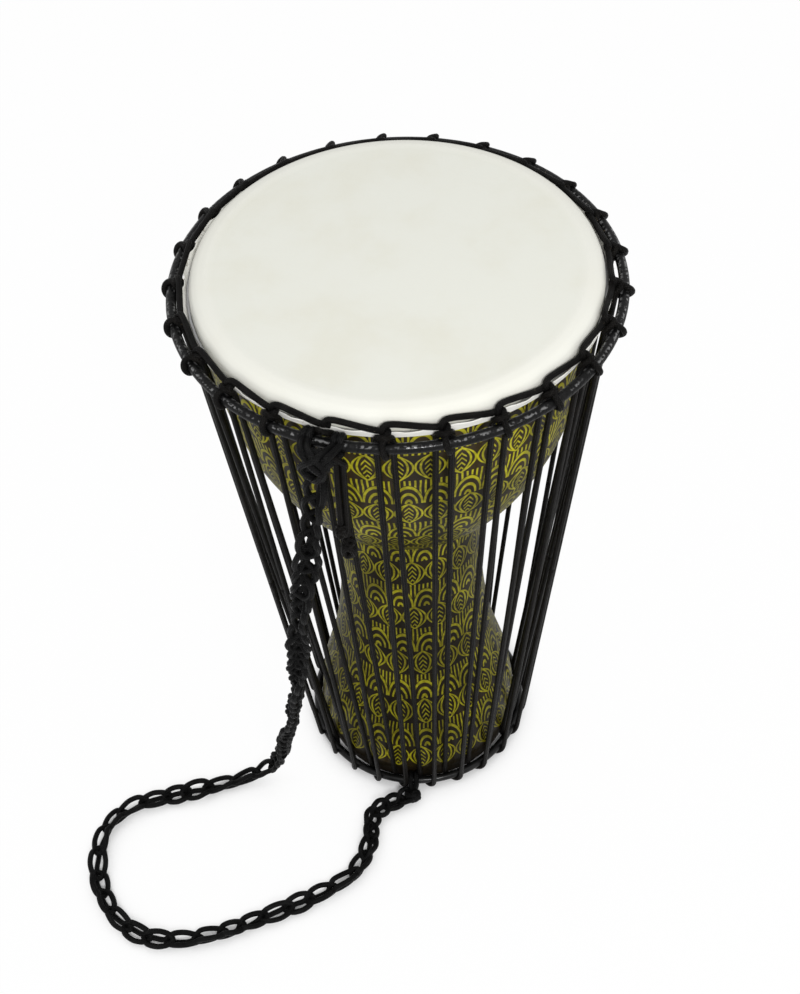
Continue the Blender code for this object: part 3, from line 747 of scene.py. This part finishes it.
def bent(points, reach=0.006):
    """Rounds each corner of a line with a curve that starts and ends up to reach from it."""
    line = [points[0]]
    for before, corner, after in zip(points, points[1:], points[2:]):
        start = corner + (before - corner) * min(0.5, reach / (before - corner).length)
        end = corner + (after - corner) * min(0.5, reach / (after - corner).length)
        for step in range(BEND_STEPS + 1):
            share = step / BEND_STEPS
            line.append(start.lerp(corner, share).lerp(corner.lerp(end, share), share))
    line.append(points[-1])
    steps = zip(line, line[1:])
    return [line[0], *[point for last, point in steps if (point - last).length > SAME_PLACE]]


def filled(points, spacing):
    """Adds points to a line's long straight stretches."""
    line = [points[0]]
    for start, end in zip(points, points[1:]):
        count = max(1, math.ceil((end - start).length / spacing))
        line += [start.lerp(end, step / count) for step in range(1, count + 1)]
    return line


def rope_piece(name, way, spacing, *nodes, body="drum"):
    """Makes a stretch of the tension rope that stands for these solid parts."""
    rope = bmesh.new()
    add_tube(rope, filled(bent(way), spacing), ROPE_RADIUS)
    return piece(name, rope, tension_cord, "tension_cord", *nodes, body=body)


for number, (first, last) in FIXED_GROUPS.items():
    rope_piece(f"side_ropes_{number}", rope_way(first, last), FIXED_SPACING, f"tension_rope_{number}")

# %% [markdown]
# The four stations at each side are the ones that the player's arm presses in. Their rope is cut at the
# height where the arm presses, into pieces over the hoop and pieces under the foot ring, which are left
# without a body. These pieces get many rings of points along them.

# %% Ropes that are squeezed
SQUEEZED = {"right": (23, 24, 25, 26), "left": (11, 12, 13, 14)}
SQUEEZE_MIDDLE = 0.230
RING_SPACING = 0.008


def at_middle(top, bottom):
    """The point of a leg at the height where it is squeezed."""
    return top.lerp(bottom, (top.z - SQUEEZE_MIDDLE) / (top.z - bottom.z))


for side, stations in SQUEEZED.items():
    for number, station in enumerate(stations, 1):
        over = bight(station)
        left_foot, right_foot = turn_under_ring(station - 1)[-1], turn_under_ring(station)[0]
        upper = [at_middle(over[0], left_foot), *over, at_middle(over[-1], right_foot)]
        parts = f"upper_{side}", f"middle_{side}_outer", f"middle_{side}_inner"
        nodes = [f"rope_{part}_{number}" for part in parts]
        made = rope_piece(f"upper_ropes_{side}_{number}", upper, RING_SPACING, *nodes, body=None)
        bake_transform(made)
    for number in range(len(stations) + 1):
        station = stations[0] - 1 + number
        under = turn_under_ring(station)
        from_top, to_top = bight(station)[-1], bight(station + 1)[0]
        lower = [at_middle(from_top, under[0]), *under, at_middle(to_top, under[-1])]
        name = {0: "first", len(stations): "last"}.get(number, str(number))
        if name == "first":
            lower = [under[-3].lerp(under[-2], 0.5), *lower[-3:]]
        if name == "last":
            lower = [*lower[:-4], under[-3].lerp(under[-2], 0.5)]
        made = rope_piece(f"lower_ropes_{side}_{name}", lower, RING_SPACING,
                          f"rope_lower_{side}_{name}", body=None)
        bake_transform(made)

# %% [markdown]
# The lacing is a second rope that ties the skin's hem to the hoop. At each station it arrives along the
# hem, tucks behind its own rising part, and goes over the front of the hoop and under it. It comes up
# between the legs, stands over the hem in a rounded corner and runs on to the next station.

# %% The lacing's way
LACING_HITCH = (  # along, outwards and up from the hoop's rod, in millimetres
    (-4.6, -7.4, 6.2), (-1.2, -7.9, 6.3), (2.4, -7.6, 6.6), (2.5, -5.6, 6.8), (0.9, -2.2, 5.9),
    (-0.8, 1.2, 5.3), (-0.5, 4.4, 2.9), (0.5, 5.2, -0.9), (1.2, 3.4, -4.1), (1.0, 0.0, -5.3),
    (0.4, -3.8, -3.8), (0.0, -5.3, 0.0), (-0.5, -5.8, 3.5), (-1.2, -6.2, 6.6), (-0.8, -6.7, 9.0),
    (1.0, -7.8, 10.6), (4.4, -8.4, 10.5), (8.5, -8.6, 10.0),
)
HEM_LEVEL, HITCH_FRONT = 6.0, -2.0  # in millimetres too
BACK_DROP = 0.60
BACK_TIGHTENING, BACK_SLANT = 0.18, 1.6
LEFT_SPREAD = 0.0024
LACING_BEND = 0.008


def leftness(angle):
    """0 at the drum's front, right and back and 1 at its left, where the hem is drawn out furthest."""
    return max(0.0, -math.cos(angle)) ** 2


def lacing_hitch(station):
    """The hitch's points. At the back the lacing lies lower over the hem, and tighter and more slanting."""
    back = backness(station)
    hitch = []
    for along, outwards, up in [[value / 1000 for value in point] for point in LACING_HITCH]:
        if up > HEM_LEVEL / 1000:
            up = HEM_LEVEL / 1000 + (up - HEM_LEVEL / 1000) * (1 - BACK_DROP * back)
            outwards += LEFT_SPREAD * leftness(station_angle(station))
        elif outwards > HITCH_FRONT / 1000:
            along *= 1 + BACK_SLANT * back
            outwards, up = outwards * (1 - BACK_TIGHTENING * back), up * (1 - BACK_TIGHTENING * back)
        hitch.append(at_hoop(station, along, outwards, up))
    return hitch


lacing_points = lacing_hitch(STRAP_STATION)[-5:]
for station in range(STRAP_STATION + 1, STRAP_STATION + STATIONS):
    lacing_points += lacing_hitch(station)
lacing_points += lacing_hitch(STRAP_STATION)[:3]
lacing = bmesh.new()
add_tube(lacing, bent(lacing_points, LACING_BEND), ROPE_RADIUS)
piece("rim_lacing", lacing, lacing_cord, "lacing_cord", "lacing_rope")

# %% [markdown]
# The hoop is a steel rod wound with black tape, which leaves a fine slanting step at each turn. Along the
# sides of its rod that face up at a slant it carries a painted highlight in pale specks. The foot ring is the
# same kind of rod, but painted and smooth. Both are closed tubes, and the difference is all in the finish.

# %% Taped and painted rods
RING_POINTS = 240
ROD_SIDES = 16
TAPE_SLANT = 3
# where the hoop's painted highlight band lies: the upward slope of the rod's surface, its reach and its core
HIGHLIGHT_BAND_TILT, HIGHLIGHT_BAND_REACH, HIGHLIGHT_BAND_CORE = 0.78, 0.22, 0.06


def rod_piece(name, radius, height, rod, finish, slot, node):
    """Makes a ring of rod with this centre line and thickness."""
    turns = [2 * math.pi * step / RING_POINTS for step in range(RING_POINTS)]
    line = [on_circle(turn, 0.0, radius, height, 1.0) for turn in turns]
    shape = bmesh.new()
    add_tube(shape, line, rod, ROD_SIDES, closed=True)
    piece(name, shape, finish.material, slot, node)


taped = Finish("black taped rod", specular_ior_level=0.10, coat_roughness=0.16)
round_rod, along_rod = taped.uv()
tape_edge = ((round_rod + along_rod * TAPE_SLANT) % 1.0).rises(0.86, 1.0)
wrinkle = taped.noise(420.0, 4.0, 0.65)
highlight_patches = taped.noise(60.0, 3.0)
facing_up = taped.node("SeparateXYZ", {}, {0: taped.node("TexCoord", output="Normal")}, 2)
# painted highlight: where the rod's surface faces up at a slant, pale specks get a lighter colour and more
# coat
painted_highlight_band = abs(facing_up - HIGHLIGHT_BAND_TILT).rises(HIGHLIGHT_BAND_REACH, HIGHLIGHT_BAND_CORE)
highlight_specks = taped.noise(480.0).rises(0.47, 0.60) * highlight_patches.rises(0.34, 0.48) * painted_highlight_band
taped.wear(base_color=taped.shade(highlight_specks, grey(0.003), grey(0.150)), roughness=0.30 + 0.30 * wrinkle,
           coat_weight=0.10 + 0.60 * highlight_specks)
taped.bump(wrinkle * 1.4 + tape_edge * 0.6, 0.0009, 0.55)

painted = Finish("black painted rod", specular_ior_level=0.12, coat_roughness=0.15)
chip = painted.noise(90.0, 3.0)
paint = painted.shade(chip.rises(0.3, 0.8), grey(0.003), grey(0.010))
painted.wear(base_color=paint, roughness=0.2 + 0.25 * chip, coat_weight=0.4 * chip)
painted.bump(chip, 0.0003, 0.5)

rod_piece("taped_hoop", hoop_radius, hoop_height, hoop_rod, taped, "taped_steel", "top_hoop")
rod_piece("painted_foot_ring", ring_radius, ring_height, ring_rod, painted, "ring_steel", "bottom_ring")

# %% [markdown]
# The shell and the skin are turned shapes. Their outlines could be typed in again, but the solid parts
# already hold them: the points of one part that lie at the same angle, joined by its edges, are its
# outline. Walking round those edges gives the points in order.

# %% Outlines from the solid parts
def outline_of(node):
    """The closed outline of a turned part, as (radius, height) points from its lowest outside point."""
    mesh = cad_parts[node].data
    spot = {}
    for vertex in mesh.vertices:
        angle = math.atan2(vertex.co.y, vertex.co.x)
        if vertex.co.xy.length < 1e-5 or abs(angle - FIRST_STATION) < 0.002:
            spot[vertex.index] = (round(vertex.co.xy.length, 5), round(vertex.co.z, 5))
    joined = {}
    for edge in mesh.edges:
        ends = [spot.get(index) for index in edge.vertices]
        if None not in ends and ends[0] != ends[1]:
            joined.setdefault(ends[0], set()).add(ends[1])
            joined.setdefault(ends[1], set()).add(ends[0])
    open_ends = [point for point, beside in joined.items() if len(beside) == 1]
    line = [max(open_ends, key=sum) if open_ends else max(joined, key=lambda point: (-point[1], point[0]))]
    last = None
    while True:
        choices = [point for point in joined[line[-1]] if point != last]
        following = max(choices, key=sum, default=line[0])
        if following == line[0]:
            break
        last = line[-1]
        line.append(following)
    if open_ends:
        line = [(0.0, line[0][1]), *line, (0.0, line[-1][1])]
    return line


shell_outline = outline_of("shell")
print("shell outline:", len(shell_outline), "points", shell_outline[:4])

# %% [markdown]
# The shell's outside carries a printed pattern in olive yellow on brown. The print is set out in rows.
# Each row has as many motifs as fit round the drum there, so they keep their size from the wide bowl to
# the narrow waist. The UV map does this: u counts motifs and v counts rows.

# %% The shell's mesh
SHELL_SEGMENTS = 150
ROW_HEIGHT = 0.0255
MOTIF_WIDTH = 0.0185
STEPS_PER_ROW = 6
SIDE_START, SIDE_STEPS = 2, 8


def turned(rows, segments):
    """Turns (radius, height) points about the axis. rows gives each stretch's points, motifs and number."""
    shape = bmesh.new()
    uv = uv_layer(shape)
    rings = {}
    for points, motifs, row in rows:
        for number, (start, end) in enumerate(zip(points, points[1:])):
            for radius, height in (start, end):
                if (radius, height) not in rings:
                    count = segments if radius > 1e-6 else 1
                    turns = [2 * math.pi * step / segments for step in range(count)]
                    circle = [(radius * math.cos(turn), radius * math.sin(turn), height) for turn in turns]
                    rings[radius, height] = [shape.verts.new(place) for place in circle] * (segments // count)
            low, high = rings[start], rings[end]
            for step in range(segments):
                beside = (step + 1) % segments
                corners = {low[step]: (step, 0), low[beside]: (step + 1, 0),
                           high[beside]: (step + 1, 1), high[step]: (step, 1)}
                face = shape.faces.new(list(corners))
                for loop in face.loops:
                    turn, up = corners[loop.vert]
                    loop[uv].uv = (motifs * turn / segments, row + (number + up) / (len(points) - 1))
    bmesh.ops.recalc_face_normals(shape, faces=shape.faces)
    return shape


widest = max(radius for radius, height in shell_outline)
top = max(range(len(shell_outline)), key=lambda number: shell_outline[number][1])
edge_start = max(number for number in range(top) if shell_outline[number][0] >= widest - SAME_PLACE)
side_points = [Vector(point) for point in shell_outline[SIDE_START + 1:edge_start + 1]]
side = Walk(smooth_line(side_points, SIDE_STEPS))
row_count = round(side.length / ROW_HEIGHT)
shell_rows = []
for row in range(row_count):
    reached = [side.length * (row + step / STEPS_PER_ROW) / row_count for step in range(STEPS_PER_ROW + 1)]
    span = [side.at(distance) for distance in reached]
    middle = span[STEPS_PER_ROW // 2].x
    shell_rows.append(([tuple(point) for point in span], round(2 * math.pi * middle / MOTIF_WIDTH), row))
inside = shell_outline[edge_start:] + shell_outline[:SIDE_START + 2]
inside[0], inside[-1] = shell_rows[-1][0][-1], shell_rows[0][0][0]
for start, end in zip(inside, inside[1:]):
    shell_rows.append(([start, end], 1, -1))
print("print rows:", row_count, "motifs:", [motifs for _, motifs, _ in shell_rows[:row_count]])

# %% [markdown]
# The motifs are drawn with sums of the UV map's two numbers. Even rows have leaves with two inner
# outlines and side veins, and odd rows have nested arches. A little noise bends the lines as a hand
# print would. The clear coat on top gives the grey sheen where the shell is seen from its side.

# %% The shell's print
LINE_HALF_WIDTH = 0.075
WOBBLE = 0.22
LEAF_OUTLINES = (0.94, 0.60)
VEINS, VEIN_SLANT = 2.6, 1.1
ARCHES, ARCH_SQUASH = 2.7, 0.42
ARCH_EDGE = (1.02, 1.06)
COMB_TEETH = 3.0
BOWL_BOTTOM = (0.37, 0.30)
BROWN, DARK_BROWN = (0.041, 0.027, 0.009, 1.0), (0.010, 0.007, 0.003, 1.0)
OLIVE, LIGHT_OLIVE = (0.170, 0.150, 0.007, 1.0), (0.530, 0.490, 0.017, 1.0)

printed = Finish("printed shell", specular_ior_level=0.05, coat_weight=0.07, coat_roughness=0.20)
motif_u, motif_v = printed.uv()
row_number = motif_v.floor()
odd_row = row_number % 2.0
wobble = printed.noise(55.0)
waver = printed.noise(38.0)
x = ((motif_u + odd_row * 0.5) % 1.0) * 2 - 1 + (wobble - 0.5) * WOBBLE
y = (motif_v % 1.0) * 2 - 1 + (waver - 0.5) * WOBBLE


def drawn_line(distance, half_width):
    return abs(distance).rises(half_width * 1.25, half_width * 0.75)


leaf = 1 - y * y
leaf_lines = 0.0
for share in LEAF_OUTLINES:
    leaf_lines = drawn_line(abs(x) - leaf * share, LINE_HALF_WIDTH).larger(leaf_lines)
vein = abs(((y + abs(x) * VEIN_SLANT) * VEINS) % 1.0 - 0.5)
veins = vein.rises(0.22, 0.13) * (leaf * 0.36 - abs(x)).rises(0.0, 0.05)
leaf_print = leaf_lines.larger(veins)
arch = (x * x + (y + 1) * (y + 1) * ARCH_SQUASH).power(0.5)
arch_print = abs((arch * ARCHES) % 1.0 - 0.5).rises(0.25, 0.15)
arch_comb = abs(((x * COMB_TEETH) % 1.0) - 0.5).rises(0.24, 0.14) * arch.rises(*ARCH_EDGE)
row_print = leaf_print * (1 - odd_row) + arch_print * odd_row * arch.rises(*ARCH_EDGE[::-1])
row_print = row_print + arch_comb * odd_row
outside = motif_v.rises(-0.02, 0.0)
ink = printed.noise(300.0, 3.0)
height = printed.node("SeparateXYZ", {}, {0: printed.place()}, 2)
# painted shade: below the bowl the print's ground and lines are darkened, on top of random stains
painted_shade_below_bowl = height.rises(*BOWL_BOTTOM)
stain_and_shade = printed.noise(24.0, 3.0).rises(0.30, 0.65) + 0.45 * painted_shade_below_bowl
# painted shade: the inside of the shell and its foot take the dark brown ground
ground = printed.shade((stain_and_shade + (1 - outside)).smaller(1.0), BROWN, DARK_BROWN)
olive = printed.shade((0.4 * ink.rises(0.35, 0.65) + 0.6 * stain_and_shade).smaller(1.0), LIGHT_OLIVE, OLIVE)
printed.wear(base_color=printed.shade((row_print * outside).smaller(1.0), ground, olive),
             roughness=0.34 + 0.16 * ink)
printed.bump(row_print * 0.2 + ink * 0.15, 0.0003, 0.5)

shell = turned(shell_rows, SHELL_SEGMENTS)
printed_shell = piece("printed_shell", shell, printed.material, "printed_shell", "shell")
printed_shell.data.set_sharp_from_angle(angle=math.radians(35))

# %% [markdown]
# The head is goatskin: ivory, faintly blotched, paler where it bends over the shell's edge, with a few
# short hairs left near the hem. Its outline comes from the solid part. The hem is not even on a real
# drum, so its free edge goes up and down a little and gathers in soft pleats.

# %% The skin's mesh
SKIN_SEGMENTS = 400
EDGE_BEND = 0.0012
# how many waves go round the drum, their height in metres and where they start
PLEATS = ((75, 0.00012, 0.4), (31, 0.00016, 1.9), (113, 0.00008, 2.7))
HEM_WAVES = ((9, 0.00040, 0.3), (22, 0.00035, 1.2), (47, 0.00025, 2.2))
HEM_DIP = 0.0014
HEM_BULGE = 0.0014
EDGE_FULLNESS = 0.0012
skin_outline = [Vector(point) for point in outline_of("drum_skin")]
wire_radius, wire_height, wire_rod = ring_measures("flesh_ring")
hem_top = max(point.y for point in skin_outline if point.x > wire_radius)
head_height = skin_outline[0].y
flat_radius = max(point.x for point in skin_outline if point.y == head_height)


def waves(turn, kinds):
    return sum(height * math.sin(count * turn + phase) for count, height, phase in kinds)


def fuller(point):
    """Fills out the bend at the head's edge, most in its middle."""
    across = (point.x - flat_radius) / (wire_radius - flat_radius)
    down = (head_height - point.y) / (head_height - wire_height)
    share = math.sin(math.pi * min(max(0.5 * across + 0.5 * down, 0.0), 1.0)) if 0 < across < 1 else 0.0
    return point + Vector((1.0, 1.0)) * (EDGE_FULLNESS * share)


smooth_skin = [tuple(fuller(point)) for point in bent(skin_outline, EDGE_BEND)]
skin_shape = turned([(smooth_skin, 1, 0)], SKIN_SEGMENTS)
for vert in skin_shape.verts:
    radius, turn = vert.co.xy.length, math.atan2(vert.co.y, vert.co.x)
    up_the_hem = min(max((vert.co.z - wire_height) / (hem_top - wire_height), 0.0), 1.0)
    share = up_the_hem if radius > wire_radius else 0.0
    between = 0.5 - 0.5 * math.cos(STATIONS * (turn - FIRST_STATION))
    drawn_out = (HEM_BULGE + LEFT_SPREAD * leftness(turn)) * between
    ripple = 1 + (waves(turn, PLEATS) + drawn_out) * share / max(radius, 1e-6)
    rise = waves(turn, HEM_WAVES) - HEM_DIP * (1 - between) ** 3
    vert.co = (vert.co.x * ripple, vert.co.y * ripple, vert.co.z + rise * share)
print("hem top at", round(hem_top, 4), "wire at", round(wire_radius, 4), round(wire_height, 4))

# %% [markdown]
# Skin is neither one colour nor one gloss. Broad soft blotches come from slow noise. The bend is a little
# paler, and the fold between the head and its hem is a thin brown line. Both come from the distance to
# the drum's axis, and some noise makes the fold's line wander and break.

# %% The skin's finish
IVORY, PALE_IVORY = (0.800, 0.805, 0.735, 1.0), (0.835, 0.830, 0.765, 1.0)
BLOTCH, HEM_PAINTED_LIGHT = (0.745, 0.730, 0.620, 1.0), (0.965, 0.955, 0.900, 1.0)
FOLD_BROWN = (0.20, 0.13, 0.07, 1.0)
BEND_RADII, HEM_RADII = (0.1085, 0.1150), (0.1240, 0.1270)
FOLD_RADIUS, FOLD_WANDER, FOLD_WIDTHS = 0.1262, 0.0020, (0.0006, 0.0002)

skin = Finish("goatskin", specular_ior_level=0.2)
flat_place = skin.node("VectorMath", {"operation": "MULTIPLY"}, {0: skin.place(), 1: (1.0, 1.0, 0.0)})
from_axis = skin.node("VectorMath", {"operation": "LENGTH"}, {0: flat_place}, 1)
blotches = skin.noise(14.0, 4.0, 0.6)
grain = skin.noise(700.0, 3.0)
wander = skin.noise(90.0, 3.0)
bent_over = from_axis.rises(*BEND_RADII)
ivory = skin.shade(blotches.rises(0.42, 0.70) * 0.50, IVORY, BLOTCH)
hem = from_axis.rises(*HEM_RADII)
# painted light: the hem is made near white, paler than the head, to make up for the shade the lacing and hoop
# cast on it
pale = skin.shade(hem, skin.shade(bent_over * 0.6, ivory, PALE_IVORY), HEM_PAINTED_LIGHT)
fold = abs(from_axis - FOLD_RADIUS + (wander - 0.5) * FOLD_WANDER).rises(*FOLD_WIDTHS)
broken = skin.noise(35.0).rises(0.40, 0.55)
skin.wear(base_color=skin.shade(fold * broken * 0.7, pale, FOLD_BROWN), roughness=0.48 + 0.16 * blotches)
skin.bump(grain * 0.5 + blotches * 0.8, 0.0004, 0.35)
piece("goatskin_head", skin_shape, skin.material, "skin", "drum_skin")

# %% [markdown]
# A skin is shaved before it is mounted, but short hairs are left at the hem. Painted lines would lie flat,
# so each hair is a thin tapered spike that starts in the hem and leans outwards and up.

# %% Hairs at the hem
HAIR_COUNT = 150
HAIR_RADIUS = 0.00016
HAIR_LENGTHS = (0.0022, 0.0052)
HAIR_LEAN = 0.8
HAIR_ROOTS, HAIR_DEPTH = (0.0006, 0.0018), 0.0006
HAIR_BROWN, HAIR_FAWN = (0.10, 0.06, 0.03, 1.0), (0.42, 0.34, 0.22, 1.0)
THIRD_TURN = 2 * math.pi / 3

random.seed(4)
hair_shape = bmesh.new()
for _ in range(HAIR_COUNT):
    turn, length = random.uniform(0.0, 2 * math.pi), random.uniform(*HAIR_LENGTHS)
    root_radius = wire_radius + wire_rod + random.uniform(*HAIR_ROOTS)
    root = on_circle(turn, 0.0, root_radius, hem_top - HAIR_DEPTH, 1.0)
    lean = Vector([random.uniform(-HAIR_LEAN, HAIR_LEAN) for _ in range(3)])
    way = (Vector((math.cos(turn), math.sin(turn), 1.0)) + lean).normalized() * length
    across = way.orthogonal().normalized() * HAIR_RADIUS
    around = [across, *[Matrix.Rotation(third, 3, way) @ across for third in (THIRD_TURN, -THIRD_TURN)]]
    base = [hair_shape.verts.new(root + side) for side in around]
    tip = hair_shape.verts.new(root + way)
    hair_shape.faces.new(base[::-1])
    for start, end in zip(base, [*base[1:], base[0]]):
        hair_shape.faces.new((start, end, tip))

bristle = Finish("goat hair", roughness=0.6, specular_ior_level=0.2)
lock = bristle.noise(60.0)
bristle.wear(base_color=bristle.shade(lock.rises(0.35, 0.65), HAIR_BROWN, HAIR_FAWN))
piece("hem_hairs", hair_shape, bristle.material, "skin")

# %% [markdown]
# Inside the hem lies the flesh ring, a wire that the skin is folded round. Only the skin's edge hides
# it, so the solid part stays, and gets a finish of brushed steel.

# %% The flesh ring's finish
wire = Finish("brushed wire", metallic=1.0)
brushed = wire.noise(900.0)
wire.wear(base_color=wire.shade(brushed, grey(0.30), grey(0.45)), roughness=0.25 + 0.25 * brushed)
wire.bump(brushed, 0.0001, 0.4)
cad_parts["flesh_ring"].material_slots[0].material = wire.material
print("the flesh ring stays solid, in", wire.material.name)

# %% [markdown]
# A photograph cut out on white still needs something for the drum to stand on. The floor is a wide
# plate. Most of what the camera sees of it is plain white light and the rest is lit as paper would be.
# Close under things the white light fades, so there the drum and the strap keep a soft shadow.

# %% Floor
FLOOR_HALF = 8.0
FLOOR_HEIGHT = -0.0004
FLOOR_LIT_SHARE = 0.04
SHADOW_REACH, SHADOW_FADE = 0.030, (0.25, 0.92)
CORNER_SIGNS = ((-1, -1), (1, -1), (1, 1), (-1, 1))

floor_shape = bmesh.new()
corners = [(across * FLOOR_HALF, deep * FLOOR_HALF, FLOOR_HEIGHT) for across, deep in CORNER_SIGNS]
floor_shape.faces.new([floor_shape.verts.new(corner) for corner in corners])
floor_mesh = bpy.data.meshes.new("floor")
floor_shape.to_mesh(floor_mesh)
floor_shape.free()
floor = placed("floor", floor_mesh)


def seen_directly(web):
    """1 for a ray from the camera, or one that a glossy or clear surface sends on, and else 0."""
    rays = web.node("LightPath").socket.node.outputs
    kinds = [Flow(web, rays[name]) for name in ("Is Camera Ray", "Is Glossy Ray", "Is Transmission Ray")]
    return kinds[0].larger(kinds[1]).larger(kinds[2])


paper = Finish("white paper", roughness=0.9, base_color=grey(0.97), specular_ior_level=0.0)
glow = paper.node("Emission", {}, {"Color": grey(1.0), "Strength": 1.0})
lit = Flow(paper, paper.shader.outputs[0])
openly = paper.node("AmbientOcclusion", {"samples": 8}, {"Distance": SHADOW_REACH}, 1).rises(*SHADOW_FADE)
plain_white = seen_directly(paper) * openly * (1 - FLOOR_LIT_SHARE)
shown = paper.node("MixShader", {}, {0: plain_white, 1: lit, 2: glow})
paper.feed(paper.tree.nodes["Material Output"].inputs["Surface"], shown)
floor_mesh.materials.append(paper.material)
print("floor:", 2 * FLOOR_HALF, "m wide, at height", FLOOR_HEIGHT)

# %% [markdown]
# The light is a studio's: white all round and one large soft lamp high in front. Together they light a
# white sheet to about white, so a colour looks much as it was written. The world is plain white to the
# camera and a little dimmer as a light.

# %% Lights
WORLD_LIGHT = 0.65
LAMP_PLACE = Vector((0.3, -1.7, 1.9))
LAMP_TARGET = Vector((0.0, 0.0, 0.35))
LAMP_SIZE = 0.5
LAMP_POWER = 28.0

world = bpy.data.worlds.new("studio")
bpy.context.scene.world = world
world.use_nodes = True
studio = Web(world.node_tree)
background = world.node_tree.nodes["Background"].inputs
studio.feed(background["Strength"], seen_directly(studio) * (1 - WORLD_LIGHT) + WORLD_LIGHT)
studio.feed(background["Color"], grey(1.0))
lamp_data = bpy.data.lights.new("soft lamp", "AREA")
lamp_data.size = LAMP_SIZE
lamp_data.energy = LAMP_POWER
lamp = placed("soft lamp", lamp_data)
lamp.location = LAMP_PLACE
lamp.rotation_euler = (LAMP_TARGET - LAMP_PLACE).to_track_quat("-Z", "Y").to_euler()
bpy.context.scene.view_settings.view_transform = "Standard"
print("lamp:", LAMP_POWER, "W,", round((LAMP_TARGET - LAMP_PLACE).length, 2), "m from the drum")

# %% [markdown]
# The last cell updates the scene.

# %% Update the scene
bpy.context.view_layer.update()
